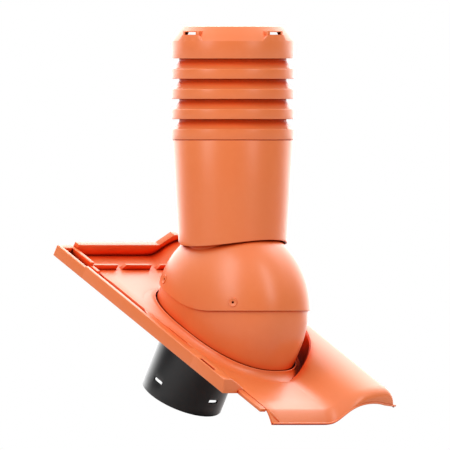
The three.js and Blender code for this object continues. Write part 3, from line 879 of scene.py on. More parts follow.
        def waved(place: Vector) -> Vector:
            """Bends the lower edge into its wave, up the taper.

            Args:
                place: A corner.

            Returns:
                Its new place.
            """
            if place.z > bottom + fade - 0.01:
                return place
            shift = -self.wave * math.cos(2 * math.atan2(place.y, place.x)) * (1 - (place.z - bottom) / fade)
            share = 1 + taper * shift / math.hypot(place.x, place.y)
            return Vector((place.x * share, place.y * share, place.z + shift))

        reshaped(sleeve, waved)
        rounded(sleeve, 0.9, steps=3, angle=40)
        placed(sleeve, UPRIGHT)
        dressed(sleeve, TERRACOTTA, Body.CHIMNEY, Slot.TERRACOTTA)
        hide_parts("tube_sleeve")

    def louvre(self, bottom: float, lowest: bool) -> bpy.types.Object:
        """One ring: an outer band, a hollow flare above it and the throat that it runs up to.

        Args:
            bottom: Height of the foot of its band.
            lowest: Whether it is the one that rests on the sleeve with a spigot inside.

        Returns:
            The ring, about the swivel.
        """
        height, radius, taper = self.band
        throat, throat_rise = self.throat
        band_top = bottom + height
        spigot, spigot_wall, depth, shoulder = self.spigot
        inner = spigot - spigot_wall if lowest else radius - self.wall
        seat = self.sleeve_top[0] + self.seam
        foot = [(inner - taper, bottom)]
        if lowest:
            foot = [(inner, bottom - depth), (spigot, bottom - depth), (spigot, seat),
                    (spigot + shoulder, seat), (spigot + shoulder, bottom)]
        turns = [step / self.flare_steps * math.pi / 2 for step in range(1, self.flare_steps + 1)]
        flare_drop, band_drop = self.inside_drop
        neck, rise, power = throat + self.throat_step, self.flare_rise, 2 / self.flare_hollow
        flare = [(neck + (radius - neck) * (1 - math.sin(turn) ** power),
                  band_top + rise * (1 - math.cos(turn) ** power)) for turn in turns]
        return turned("louvre", [
            (radius - taper, bottom), (radius, band_top), *flare, (throat, band_top + throat_rise),
            (throat - self.wall, band_top + throat_rise),
            (throat - self.wall, band_top + rise - flare_drop), (inner, band_top - band_drop), *foot])

    def louvres(self) -> None:
        """Four rings, the collar band among them, on the ribs that carry them and the cap."""
        lowest, ring = (
            rounded(self.louvre(self.base + index * self.pitch, index == 0), 0.8, steps=3, angle=40)
            for index in (0, 1))
        rises = [Matrix.Translation((0, 0, step * self.pitch * MM)) for step in range(1, self.count - 1)]
        inner, outer, thick, top = self.rib
        low = self.base + self.band[0]
        rib = box("rib", Vector((inner, -thick / 2, low)) * MM, Vector((outer, thick / 2, top)) * MM)
        ribs = ringed(rounded(rib, 0.5), 4, start=45)
        pieces = [lowest, ring, *(copied(ring, rise) for rise in rises), *ribs]
        head = placed(joined("louvre_rings", pieces), UPRIGHT)
        dressed(head, TERRACOTTA, Body.CHIMNEY, Slot.TERRACOTTA)
        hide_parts("louvre_head")


@dataclass
class Cap:
    """Flat lid with a chamfer, four bosses, their hoods and a slot in each. Heights are above the swivel."""

    bottom: float = 327.0
    shoulder: float = 349.7
    edge: float = 368.6
    top: float = 370.2
    outer: float = 80.6
    edge_radius: float = 67.4
    under_edge: float = 65.9
    wall: float = 2.4
    taper: float = 1.0
    crown: Sequence[float] = (0.8, 0.55, 0.3, 0.12)
    shelf: Triple = (345.3, 348.3, 60.0)
    shelf_draft: float = 0.2
    boss_halves: Span = (23.8, 13.5)
    boss_top: float = 357.6
    boss_set_back: float = 0.1
    hood: Triple = (14.5, 362.5, 78.8)
    sunk: Span = (1.0, 0.6)
    overlap: float = 0.3
    slot: Triple = (9.8, 357.9, 361.3)
    passage: Span = (13.0, 76.4)
    hair: float = 0.05

    def build(self) -> None:
        """Builds, dresses and places the cap."""
        half, sill, lintel = self.slot
        passage_half, passage_reach = self.passage
        inside = (sill + self.hair, lintel - self.hair)
        lid = self.lid()
        for turn in (0, math.pi / 2):
            spin = Matrix.Rotation(turn, 4, "Z")
            combined(lid, self.bosses(spin), "UNION")
            combined(lid, self.slab("slot", (half, half), (sill, lintel), spin))
            combined(lid, self.slab("passage", (passage_half, passage_half), inside, spin, passage_reach))
        rounded(lid, 0.5, angle=35)
        placed(lid, UPRIGHT)
        dressed(lid, TERRACOTTA, Body.CHIMNEY, Slot.TERRACOTTA, angle=30)
        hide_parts("cap")

    def lid(self) -> bpy.types.Object:
        """Round lid with its crown, its chamfer, its skirt and the shelf inside that rests on the ribs.

        Returns:
            The lid, about the swivel.
        """
        inner, rise = self.outer - self.wall, self.top - self.edge
        shelf_bottom, shelf_top, shelf_inner = self.shelf
        crown = [(self.edge_radius * share, self.edge + rise * (1 - share ** 2)) for share in self.crown]
        under = [(radius, height - self.wall) for radius, height in reversed(crown)]
        return turned("cap_lid", [
            (0, self.top), *reversed(crown), (self.edge_radius, self.edge), (self.outer, self.shoulder),
            (self.outer - self.taper, self.bottom), (inner - self.taper, self.bottom),
            (inner - self.shelf_draft, shelf_bottom), (shelf_inner, shelf_bottom), (shelf_inner, shelf_top),
            (inner, shelf_top), (self.under_edge, self.edge - self.wall), *reversed(under),
            (0, self.top - self.wall)])

    def slab(self, name: str, halves: Span, heights: Span, spin: Matrix,
             reach: float = 150.0) -> bpy.types.Object:
        """Slab right across the cap.

        Args:
            name: Name of the new object.
            halves: Half its width at its foot and at its top.
            heights: Heights of its foot and its top.
            spin: Its turn about the upright axis.
            reach: Half its length.

        Returns:
            The slab.
        """
        (foot, top), (low, high) = halves, heights
        outline = [(-foot, low), (foot, low), (top, high), (-top, high)]
        return placed(plate(name, outline, -reach, reach), spin @ EDGEWISE)

    def bosses(self, spin: Matrix) -> bpy.types.Object:
        """Two opposite bosses with their hoods, cut back to the inside of the lid.

        Args:
            spin: Their turn about the upright axis.

        Returns:
            The bosses, about the swivel.
        """
        (half, top, radius), (boss_sunk, hood_sunk) = self.hood, self.sunk
        low, high = 300, 400
        bosses = self.slab("boss", self.boss_halves, (self.shoulder - boss_sunk, self.boss_top), spin)
        combined(bosses, drum("round", self.outer - self.boss_set_back, low, high, 120), "INTERSECT")
        hoods = self.slab("hood", (half, half), (self.shoulder - hood_sunk, top), spin)
        combined(hoods, drum("round", radius, low, high, 120), "INTERSECT")
        combined(bosses, hoods, "UNION")
        inner, under = self.outer - self.wall - self.overlap, self.edge - self.wall
        return combined(bosses, turned("hollow", [
            (0, low), (inner, low), (inner, self.shelf[1]), (self.under_edge - self.overlap, under),
            (0, under)]))


@dataclass
class Ball:
    """Lower shell of the swivel: round above the plane of the tile through the swivel, straight below."""

    swivel: Swivel = field(default_factory=Swivel)
    mouth: Span = (48.0, 163.0)
    floor: Span = (-3.2, -0.4)
    flange: float = 13.2
    stub_back: float = 26.0
    hole: float = 52.3
    socket: Triple = (55.4, 2.7, -20.0)
    rib_count: int = 8
    rib_length: float = 10.0
    rib_half: float = 1.1
    rib_tip: float = 1.5

    def build(self) -> None:
        """Builds the shell and the floor that carries the duct stub."""
        shell = self.shell()
        floor = self.base()
        ball = placed(joined("swivel_ball", [shell, floor]), TILT)
        dressed(ball, TERRACOTTA, Body.BASE, Slot.TERRACOTTA, angle=30)
        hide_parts("lower_ball")

    def shell(self) -> bpy.types.Object:
        """Turned shell, open at its mouth, with straight walls drawn down to the floor.

        Returns:
            The shell, on the flat tile.
        """
        swivel = self.swivel
        shell = swivel.body("ball_shell", swivel.dome_wall + swivel.slide_gap)
        middle = tile_point(PIVOT_ALONG, PIVOT_ACROSS, PIVOT_UP)
        placed(shell, Matrix.Translation(middle))
        (front_y, front_z), (back_y, back_z) = (
            (-swivel.radius * math.cos(math.radians(turn)), swivel.radius * math.sin(math.radians(turn)))
            for turn in self.mouth)
        normal = Vector((0, front_z - back_z, back_y - front_y)).normalized()
        front = middle + Vector((0, front_y, front_z)) * MM
        depth = (PIVOT_UP - self.floor[0]) * MM
        pick(shell)
        with editing("EDGE"):
            bpy.ops.mesh.bisect(plane_co=middle, plane_no=(0, 0, 1), clear_inner=True)
            bpy.ops.mesh.select_all(action="SELECT")
            bpy.ops.mesh.bisect(plane_co=front, plane_no=normal, clear_outer=True)
        with editing("VERT", selected=False):
            bpy.ops.mesh.select_all(action="DESELECT")
        for vertex in shell.data.vertices:
            vertex.select = abs(vertex.co.z - middle.z) < 1e-6
        with editing("VERT", selected=False):
            bpy.ops.mesh.extrude_edges_move(TRANSFORM_OT_translate={"value": (0, 0, 0)})
        for vertex in shell.data.vertices:
            if vertex.select and vertex.co.y > middle.y:
                vertex.co.y = middle.y + (vertex.co.y - middle.y) * swivel.back
        with editing("VERT", selected=False):
            bpy.ops.mesh.extrude_edges_move(TRANSFORM_OT_translate={"value": (0, 0, -depth)})
            close_up(1e-5)
        upwards = max(shell.data.polygons, key=lambda face: face.center.z)
        if upwards.normal.z < 0:
            shell.data.flip_normals()
        walled(shell, swivel.ball_wall)
        return rounded(shell, 0.5, angle=50)

    def base(self) -> bpy.types.Object:
        """Floor of the ball with its flange under the tile, and the socket of the stub.

        Returns:
            The floor with all that it carries, on the flat tile.
        """
        bottom, top = self.floor
        floor = plate("ball_floor", self.swivel.ring_outline(self.flange), bottom, top)
        place = Matrix.Translation(tile_point(PIVOT_ALONG - self.stub_back, PIVOT_ACROSS, 0))
        combined(floor, placed(drum("hole", self.hole, -9, 9), place))
        inner, wall, depth = self.socket
        ring = turned("socket", [(inner, depth), (inner + wall, depth), (inner + wall, bottom + 1),
                                 (inner, bottom + 1)], 96)
        rounded(ring, 0.6)
        root, half, low = inner + 1, self.rib_half, depth + 4
        tip = root + self.rib_length
        rib = plate("socket_rib", [(root, -half), (tip, -half), (tip, half), (root, half)], low, bottom + 0.5)
        for vertex in rib.data.vertices:
            if vertex.co.x > (root + tip) / 2 * MM and vertex.co.z < bottom * MM:
                vertex.co.z = (bottom - self.rib_tip) * MM
        carrier = placed(joined("socket", [ring, *ringed(rib, self.rib_count)]), place)
        rounded(floor, 0.5, angle=60)
        return joined("ball_floor", [floor, carrier])


@dataclass
class DuctStub:
    """Black pipe square to the tile with four slots near its rim."""

    back: float = 26.0
    radius: float = 55.0
    wall: float = 2.7
    bottom: float = -101.0
    top: float = -3.5
    slot: Triple = (16.0, 5.0, 22.2)
    slot_exponent: float = 6.0
    slot_corners: int = 40
    rows: Span = (12.0, 34.0)

    def build(self) -> None:
        """Builds, dresses and places the stub."""
        inner = self.radius - self.wall
        heights = [self.bottom + row for row in self.rows]
        pipe = turned("pipe", [
            (inner + 1, self.bottom), (self.radius, self.bottom),
            *((self.radius, height) for height in heights), (self.radius, self.top),
            (inner, self.top), *((inner, height) for height in reversed(heights)),
            (inner, self.bottom + 2)])
        width, height, above = self.slot
        turns = [2 * math.pi * corner / self.slot_corners for corner in range(self.slot_corners)]
        corners = [squared(turn, width / 2, height / 2, self.slot_exponent) for turn in turns]
        lift = Matrix.Translation((0, 0, (self.bottom + above) * MM))
        slot = placed(plate("slot", corners, -90, 90), Matrix.Rotation(math.pi / 2, 4, "X"))
        for cutter in ringed(placed(slot, lift), 2, half_turn=True):
            combined(pipe, cutter)
        rounded(pipe, 0.35, angle=50)
        stub = placed(pipe, TILT @ Matrix.Translation(tile_point(PIVOT_ALONG - self.back, PIVOT_ACROSS, 0)))
        stub.name = "duct_pipe"
        dressed(stub, BLACK, Body.BASE, Slot.BLACK, angle=30)
        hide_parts("duct_stub")


@dataclass
class Tile:
    """The moulded tile. Places are (along, across, up) in millimetres on the flat tile."""

    swivel: Swivel = field(default_factory=Swivel)
    length: float = 426.0
    width: float = 248.0
    sheet: float = 2.6
    pan_top: float = 5.2
    pan_left: float = 37.0
    crest_across: float = 227.0
    rise_foot: float = 0.38
    rise_crest: float = 0.69
    crest_handle: float = 17.0
    flange_handle: float = 238.0
    nose_start: float = 406.0
    nose_flare: float = 3.4
    nose_rows: int = 14
    pan_curve: float = 1.3
    roll_curve: float = 2.8
    roll_full: float = 30.0
    bead: Section = ((-1.6, 1.9), (0.5, 2.2), (1.2, 1.7), (1.4, 0.9), (1.2, 0.1), (0.5, -0.4), (-1.6, -0.3))
    gusset_radius: Span = (0.3, 1.9)
    gusset_run: float = 0.93
    gusset_sweep: Triple = (1.6, 1.5, 11.5)
    head_lap: Span = (58.0, 82.0)
    lap_rows: int = 6
    head_hump: tuple[float, float, float, float, float] = (176.0, 196.0, 206.0, 21.2, 36.4)
    hump_fall: float = 0.9
    head_start: float = 28.5
    head_foot: Span = (0.0, 6.0)
    head_crest: Span = (0.0, 8.6)
    head_edge: float = 1.7
    notches: Section = ((75.4, 89.8), (137.1, 153.3), (200, 212))
    bar_start: float = 27.0
    bar_foot: Span = (36.0, 43.2)
    bar_crest: Span = (40.0, 43.8)
    bar_rise: float = 7.2
    bar_lean: float = 5.0
    sill_rise: float = 2.0
    pocket: Triple = (119.6, 100.0, 2.6)
    pocket_start: float = 150.0
    pocket_clear: float = 1.6
    floor_drop: float = 0.15
    hair: float = 0.05
    cut: Span = (-30.0, 90.0)
    brow: Span = (4.2, 0.7)
    brow_rows: int = 7
    seat: Sizes = ((12, 52), (45, 145), (0, 3.4))
    hook: Sizes = ((4, 12), (52, 76), (-17, 3.4))
    hook_pitch: float = 62.0
    opening_gap: float = 4.0
    collar_gap: float = 0.6
    collar_top: float = 14.4
    collar_lip: float = 1.6
    collar_foot: float = 17.0
    collar_neck: Triple = (0.35, 2.4, 1.4)
    collar_segments: int = 176
    rise_steps: int = 26
    fall_steps: int = 16

    def outline(self, start: Span, crest: Span, end: Span) -> Outline:
        """Pan and roll as (across, up): level pan, S-shaped rise, crest, steep fall.

        Args:
            start: Where the pan ends.
            crest: Top of the roll.
            end: Where the fall would meet the flange.

        Returns:
            The corners from the lock side to the flange.
        """
        reach = crest[0] - start[0]
        rise = bezier(start, (start[0] + self.rise_foot * reach, start[1]),
                      (crest[0] - self.rise_crest * reach, crest[1]), crest, self.rise_steps)
        fall = bezier(crest, (crest[0] + self.crest_handle, crest[1]), end, (self.width, end[1]),
                      self.fall_steps)
        pan = [(self.pan_left + (start[0] - self.pan_left) * step / 6, start[1]) for step in range(6)]
        return [*pan, *rise, *fall[1:]]

    @property
    def head(self) -> Outline:
        """Outline of the head lap."""
        return self.outline((163, 4.4), (self.crest_across, 28.5), (self.flange_handle, 13))

    @property
    def body(self) -> Outline:
        """Outline of the body of the tile."""
        return self.outline((137, self.pan_top), (self.crest_across, 41.3), (self.flange_handle, 20.8))

    @property
    def eave(self) -> Outline:
        """Outline of the bent eave edge, at the same stops across as the body."""
        edge = self.outline((137, -6.8), (208, 24.5), (225, 20.3))
        return [(across, height_at(edge, across)) for across, _ in self.body]

    def build(self) -> None:
        """Builds every part of the tile and joins them."""
        pieces = [self.sheet_piece(), self.eave_bead(), self.nose_gusset(), self.collar(),
                  *self.pocket_pieces(), self.head_wall(), *self.weather_bar(),
                  *SideLock(self.sheet, self.nose_start).build(), *self.batten_seat()]
        tile = placed(joined("tile", pieces), TILT)
        dressed(tile, TERRACOTTA, Body.BASE, Slot.TERRACOTTA, angle=35)
        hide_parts("roof_tile")

    def sheet_piece(self) -> bpy.types.Object:
        """Pan and roll from the head edge to the bent eave, with the opening and the pocket cut out.

        Returns:
            The sheet, on the flat tile.
        """
        head, body, eave = self.head, self.body, self.eave
        low, high = self.head_lap
        steps = self.lap_rows
        runs = [math.sin(math.pi / 2 * step / self.nose_rows) for step in range(self.nose_rows + 1)]
        level = [*range(0, 60, 20), *(low + (high - low) * step / steps for step in range(steps + 1)),
                 *range(100, 400, 20)]
        rows = [*((along, 0.0) for along in level),
                *((self.nose_start + (self.length - self.nose_start) * run, run) for run in runs)]

        def place(column: int, row: int) -> Vector:
            """Corner of the sheet.

            Args:
                column: Its column.
                row: Its row.

            Returns:
                Its place.
            """
            along, run = rows[row]
            lap = smooth((along - low) / (high - low))
            across = head[column][0] + (body[column][0] - head[column][0]) * lap
            up = head[column][1] + (body[column][1] - head[column][1]) * lap
            bulge = min(max((up - self.pan_top) / self.roll_full, 0), 1)
            curve = self.roll_curve
            drop = run ** self.pan_curve * (1 - bulge) + (1 - (1 - run ** curve) ** (1 / curve)) * bulge
            return tile_point(along, self.flared(across, run), up + (eave[column][1] - up) * drop)

        sheet = walled(grid("sheet", len(body), len(rows), place), self.sheet)
        combined(sheet, self.opening())
        clear = self.pocket_outline(self.pocket_clear)
        combined(sheet, plate("pocket_cut", clear, self.pan_top + self.hair, self.cut[1]))
        return rounded(sheet, 0.6, angle=55)

    def opening(self) -> bpy.types.Object:
        """Cutter for the hole that the ball stands in."""
        return plate("opening", self.swivel.ring_outline(self.collar_gap + self.opening_gap), *self.cut)

    def flared(self, across: float, run: float) -> float:
        """Place across on the nose, whose steep side stands out towards its end."""
        share = min(max((across - self.crest_across) / (self.width - self.crest_across), 0), 1)
        return across + self.nose_flare * run * math.sin(math.pi * share)

    def eave_bead(self) -> bpy.types.Object:
        """Thin bead along the lower edge of the eave.

        Returns:
            The bead, on the flat tile.
        """
        edge = self.eave

        def place(column: int, row: int) -> Vector:
            """Corner of the bead.

            Args:
                column: Its column.
                row: Its row.

            Returns:
                Its place.
            """
            out, above = self.bead[row]
            across, up = edge[column]
            return tile_point(self.length + out, self.flared(across, 1), up + above)

        return grid("eave_bead", len(edge), len(self.bead), place, closed=True)

    def nose_gusset(self) -> bpy.types.Object:
        """Curved ridge that stiffens the left end of the nose.

        Returns:
            The ridge, on the flat tile.
        """
        steps, sides = 18, 8
        floor = self.eave[0][1]
        reach = self.length - self.nose_start
        (thin, swell), (inset, slant, sweep) = self.gusset_radius, self.gusset_sweep

        def place(column: int, row: int) -> Vector:
            """Corner of the ridge.

            Args:
                column: Its column.
                row: Its row.

            Returns:
                Its place.
            """
            share = column / steps
            turn = 2 * math.pi * row / sides
            radius = thin + swell * math.sin(math.pi * share)
            run = self.gusset_run * share
            up = self.pan_top + (floor - self.pan_top) * run ** self.pan_curve
            across = self.pan_left + inset + slant * share + sweep * share ** 2
            return tile_point(self.nose_start + reach * run, across + radius * math.cos(turn),
                              up + radius * math.sin(turn))

        return grid("nose_gusset", steps + 1, sides, place, closed=True)

    def pocket_point(self, angle: float, offset: float) -> Span:
        """Point of the pocket's outline, grown by an offset, as (along, across)."""
        radius, half_width, _ = self.pocket
        return oval_point(angle, radius + offset, half_width + offset, 2)

    def pocket_outline(self, offset: float) -> Outline:
        """Outline of the pocket on the flat tile, grown by an offset."""
        count = self.swivel.segments
        return [flat_xy(*self.pocket_point(2 * math.pi * i / count, offset)) for i in range(count)]

    def pocket_pieces(self) -> list[bpy.types.Object]:
        """Wall of the pocket with its rounded brow on the roll, and its floor.

        Returns:
            The wall and the floor, on the flat tile.
        """
        wall, body, rows = self.pocket[2], self.body, self.brow_rows
        widest, share = self.brow
        turns = [turn for turn in (math.radians(step) for step in range(0, 181))
                 if self.pocket_point(turn, 0)[1] > self.pocket_start]

        def place(column: int, row: int) -> Vector:
            """Corner of the wall: over the brow, down inside, back up outside.

            Args:
                column: Its column.
                row: Its row.

            Returns:
                Its place.
            """
            turn = turns[column]
            depth = height_at(body, self.pocket_point(turn, 0)[1]) - self.pan_top
            brow = min(widest, share * depth)
            if row <= rows:
                bend = math.pi / 2 * row / rows
                offset = brow * (1 - math.sin(bend))
                across = self.pocket_point(turn, offset)[1]
                surface = height_at(body, across) + 0.03
                up = surface - brow * (1 - math.cos(bend))
            elif row == rows + 1:
                offset, up = 0.0, self.pan_top - self.sheet
            elif row == rows + 2:
                offset, up = wall, self.pan_top - self.sheet
            else:
                offset = wall
                up = height_at(body, self.pocket_point(turn, offset)[1]) - self.sheet / 2
            along, across = self.pocket_point(turn, offset)
            return tile_point(along, across, up)

        lining = grid("pocket_wall", len(turns), rows + 4, place, closed=True)
        floor = plate("pocket_floor", self.pocket_outline(wall), self.pan_top - self.sheet,
                      self.pan_top - self.floor_drop)
        return [lining, combined(floor, self.opening())]

    def collar(self) -> bpy.types.Object:
        """Rounded lip round the ball that flares down into the pan, and the thick ring below it.

        Returns:
            The collar, on the flat tile.
        """
        gap, lip, foot, top = self.collar_gap, self.collar_lip, self.collar_foot, self.collar_top
        sink = 0.3
        half = lip / 2
        turns = [math.pi * step / 6 for step in range(7)]
        bead = [(gap + half - half * math.cos(turn), top - half + half * math.sin(turn)) for turn in turns]
        turns = [math.pi / 2 * step / 10 for step in range(1, 11)]
        flare = [(gap + lip + (foot - lip) * (1 - math.cos(turn)),
                  top - half - (top - half - self.pan_top + sink) * math.sin(turn)) for turn in turns]
        base = 500.0
        neck, shoulder, throat = self.collar_neck
        section = [(neck, 0), (neck, top - shoulder), (gap, top - throat), *bead, *flare, (gap + foot, 0)]
        ring = turned("collar", [(base + offset, up) for offset, up in section], self.collar_segments)

        def pressed(place: Vector) -> Vector:
            """Presses the round ring onto the outline of the ball.

            Args:
                place: A corner of the round ring.

            Returns:
                Its new place.
            """
            turn = math.atan2(place.x, -place.y)
            along, across = self.swivel.ring(turn, math.hypot(place.x, place.y) - base)
            x, y = flat_xy(along, max(across, self.pan_left + 1))
            return Vector((x, y, place.z))

        return reshaped(ring, pressed)

    def across_wall(self, name: str, stops: Iterable[float], foot: Section, crest: Section,
                    top: Callable[[float], float], lean: float = 0.0, edge: float = 0.8) -> bpy.types.Object:
        """Wall that stands across the head lap.

        Args:
            name: Name of the new object.
            stops: Places across.
            foot: The two faces along the slope at its foot.
            crest: The two faces along the slope at its crest.
            top: Height of its crest at a place across.
            lean: How far its first end runs out at the foot.
            edge: Width of the rounding of its edges.

        Returns:
            The wall with rounded edges.
        """
        places = list(stops)
        wall = bar(name, places)
        head = self.head

        def shaped(place: Vector) -> Vector:
            """Puts a corner of the bar on the lap.

            Args:
                place: A corner of the bar.

            Returns:
                Its new place.
            """
            across = place.x
            low = place.z < 0.5
            if low and across < places[0] + 0.01:
                across -= lean
            lap = height_at(head, max(across, self.pan_left)) - self.sheet / 2
            faces = foot if low else crest
            return tile_point(faces[1 if place.y < 0.5 else 0], across, lap if low else top(across)) / MM

        reshaped(wall, shaped)
        return rounded(wall, edge, steps=3)

    def lap_stops(self, start: float, end: float, extra: Sequence[float] = ()) -> list[float]:
        """Places across where the head lap bends, between two ends.

        Args:
            start: First end.
            end: Last end.
            extra: More places to take in where they lie between.

        Returns:
            The places, in order.
        """
        inside = [across for across, _ in self.head if start + 1 < across < end - 1]
        more = [across for across in extra if start < across < end]
        return sorted({start, end, *(round(across, 3) for across in inside), *more})

    def head_wall(self) -> bpy.types.Object:
        """Wall along the head edge: level over the pan, then a hump on the roll.

        Returns:
            The wall, on the flat tile.
        """
        rise, level, fall, low, high = self.head_hump

        def top(across: float) -> float:
            """Height of its crest.

            Args:
                across: The place across.

            Returns:
                The height.
            """
            if across < level:
                return low + (high - low) * min(max((across - rise) / (level - rise), 0), 1)
            return max(height_at(self.head, across) + 1, high - max(across - fall, 0) * self.hump_fall)

        stops = self.lap_stops(self.head_start, self.width, (rise, level, fall))
        return self.across_wall("head_wall", stops, self.head_foot, self.head_crest, top,
                                edge=self.head_edge)

    def weather_bar(self) -> list[bpy.types.Object]:
        """Low bar across the head lap, broken by the drain notches.

        Returns:
            Its lengths and the sill in the last notch.
        """
        foot, crest = self.bar_foot, self.bar_crest
        ends = [self.bar_start, *(end for notch in self.notches for end in notch), self.width]
        spans = list(zip(ends[::2], ends[1::2]))

        def top(across: float) -> float:
            """Height of its crest."""
            return height_at(self.head, max(across, self.pan_left)) + self.bar_rise

        bars = [self.across_wall(f"weather_bar_{number}", self.lap_stops(*span), foot, crest, top,
                                 lean=0.0 if number == 1 else self.bar_lean)
                for number, span in enumerate(spans, 1)]
        low, high = self.notches[-1]
        sill = self.across_wall("weather_sill", self.lap_stops(low - 1, high + 1), foot, crest,
                                lambda across: height_at(self.head, across) + self.sill_rise)
        return [*bars, sill]

    def batten_seat(self) -> list[bpy.types.Object]:
        """Thick seat on the batten and the two hooks behind it."""
        seat, hook = (rounded(block(name, sizes), 0.7, steps=3)
                      for name, sizes in (("batten_seat", self.seat), ("batten_hook", self.hook)))
        return [seat, hook, copied(hook, Matrix.Translation((self.hook_pitch * MM, 0, 0)))]


@dataclass
class SideLock:
    """Lock channel along the left edge of the tile: walls, rib, bridge, end block and ledge."""

    sheet: float
    ledge_end: float
    edge: float = 1.2
    block_edge: float = 1.6
    section: Section = ((0, 0), (38, 0), (38, 5.2), (32.5, 9), (15.6, 17.5), (0, 17.5))
    block_start: float = 287.0
    block_end: float = 358.0
    block_draft: float = 0.4
    pocket: Sizes = ((296, 325), (2.6, 8), (4, 30))

    @property
    def boxes(self) -> dict[str, Sizes]:
        """Its boxes. They differ by hairs where they would share a face."""
        return {
            "lock_floor": ((-2.35, 292), (0.06, 37.9), (0.06, self.sheet)),
            "lock_upright": ((0.05, 292), (36.5, 39.6), (0.07, 4.4)),
            "lock_head": ((-2.38, 60), (0, 6.5), (0, 15.5)),
            "lock_wall": ((56, 294), (0.015, 6.48), (0.015, 17.48)),
            "lock_end": ((-2.4, 6), (0.045, 41), (0.045, 15.47)),
            "lock_rib": ((-1, 44), (22.4, 29.4), (0.08, 15.6)),
            "lock_rib_tail": ((38, 59), (22.9, 29.3), (0.09, 11.2)),
            "lock_bridge": ((269, 294), (0.03, 16.3), (0.03, 17.46)),
            "lock_ledge": ((346, self.ledge_end), (27, 37.5), (0.02, 4.6)),
        }

    def build(self) -> list[bpy.types.Object]:
        """Builds its boxes and the end block with its pocket.

        Returns:
            The pieces, on the flat tile.
        """
        pieces = [rounded(block(name, sizes), self.edge, steps=4) for name, sizes in self.boxes.items()]
        end_block = plate("lock_block", [(across - ACROSS_0, up) for across, up in self.section], 0, 1)

        def laid(place: Vector) -> Vector:
            """Lays the section along the slope with a drafted end."""
            along = self.block_start if place.z < 0.5 else self.block_end - self.block_draft * place.y
            return tile_point(along, place.x + ACROSS_0, place.y) / MM

        combined(reshaped(end_block, laid), block("pocket", self.pocket))
        return [*pieces, rounded(end_block, self.block_edge, steps=4)]


def bezier(start: Span, first: Span, second: Span, end: Span, steps: int) -> Outline:
    """Points of a cubic curve.

    Args:
        start: First end.
        first: First handle.
        second: Second handle.
        end: Last end.
        steps: Number of spans.

    Returns:
        The points as (x, y).
    """
    handles = (start, first, second, end)

    def point(t: float) -> Span:
        """Point at a share of the way.

        Args:
            t: The share, from 0 to 1.

        Returns:
            The point.
        """
        weights = ((1 - t) ** 3, 3 * t * (1 - t) ** 2, 3 * t * t * (1 - t), t ** 3)
        x, y = (sum(weight * handle[axis] for weight, handle in zip(weights, handles)) for axis in (0, 1))
        return x, y

    return [point(step / steps) for step in range(steps + 1)]


def height_at(outline: Outline, across: float) -> float:
    """Height of an outline at one place across.

    Args:
        outline: Corners as (across, up).
        across: The place.

    Returns:
        The height, level past the last corner.
    """
    for (x0, y0), (x1, y1) in zip(outline, outline[1:]):
        if across <= x1:
            return y0 + (y1 - y0) * (across - x0) / (x1 - x0)
    return outline[-1][1]


def smooth(share: float) -> float:
    """Smooth step from 0 to 1."""
    share = min(max(share, 0.0), 1.0)
    return share * share * (3 - 2 * share)


def grid(name: str, columns: int, rows: int, place: Callable[[int, int], Vector],
         closed: bool = False) -> bpy.types.Object:
    """Bends a flat grid onto a surface.

    Args:
        name: Name of the new object.
        columns: Corners across.
        rows: Corners along.
        place: Gives the place of a corner from its column and row.
        closed: Whether the last row meets the first, which makes a tube with capped ends.

    Returns:
        The surface, with its normals up or out.
    """
    rest()
    bpy.ops.mesh.primitive_grid_add(x_subdivisions=columns - 1, y_subdivisions=rows - 1, size=2)
    obj = named(name)
    for vertex in obj.data.vertices:
        column = round((vertex.co.x + 1) / 2 * (columns - 1))
        row = round((vertex.co.y + 1) / 2 * (rows - 1))
        vertex.co = place(column, row)
    if closed:
        with editing("EDGE", selected=False):
            bpy.ops.mesh.select_all(action="DESELECT")
        first_last = {*range(columns), *range(columns * (rows - 1), columns * rows)}
        for edge in obj.data.edges:
            edge.select = set(edge.vertices) <= first_last
        with editing("EDGE", selected=False):
            bpy.ops.mesh.bridge_edge_loops()
            bpy.ops.mesh.select_all(action="DESELECT")
            bpy.ops.mesh.select_non_manifold()
            bpy.ops.mesh.edge_face_add()
            close_up()
        return obj
    outward(obj)
    if sum(face.normal.z for face in obj.data.polygons) < 0:
        obj.data.flip_normals()
    return obj


@dataclass(frozen=True)
class Softbox:
    """Soft window of light, turned some degrees to the right of the camera, seen from the part."""

    name: str
    azimuth: float
    width: float
    watts: float
    height: float = 1.25
    lift: float = 0.72
    distance: float = 1.3

    def hang(self, focus: Vector, view: Vector) -> None:
        """Hangs it round a focus.

        Args:
            focus: The place it shines on.
            view: The way the camera looks.
        """
        data = bpy.data.lights.new(self.name, "AREA")
        data.shape = "RECTANGLE"
        data.size, data.size_y = self.width, self.height
        data.energy = self.watts
        light = linked(self.name, data)
        towards = Matrix.Rotation(math.radians(self.azimuth), 3, "Z") @ -view
        light.location = focus + towards * self.distance + Vector((0, 0, self.lift))
        light.rotation_euler = (light.location - focus).to_track_quat("Z", "Y").to_euler()


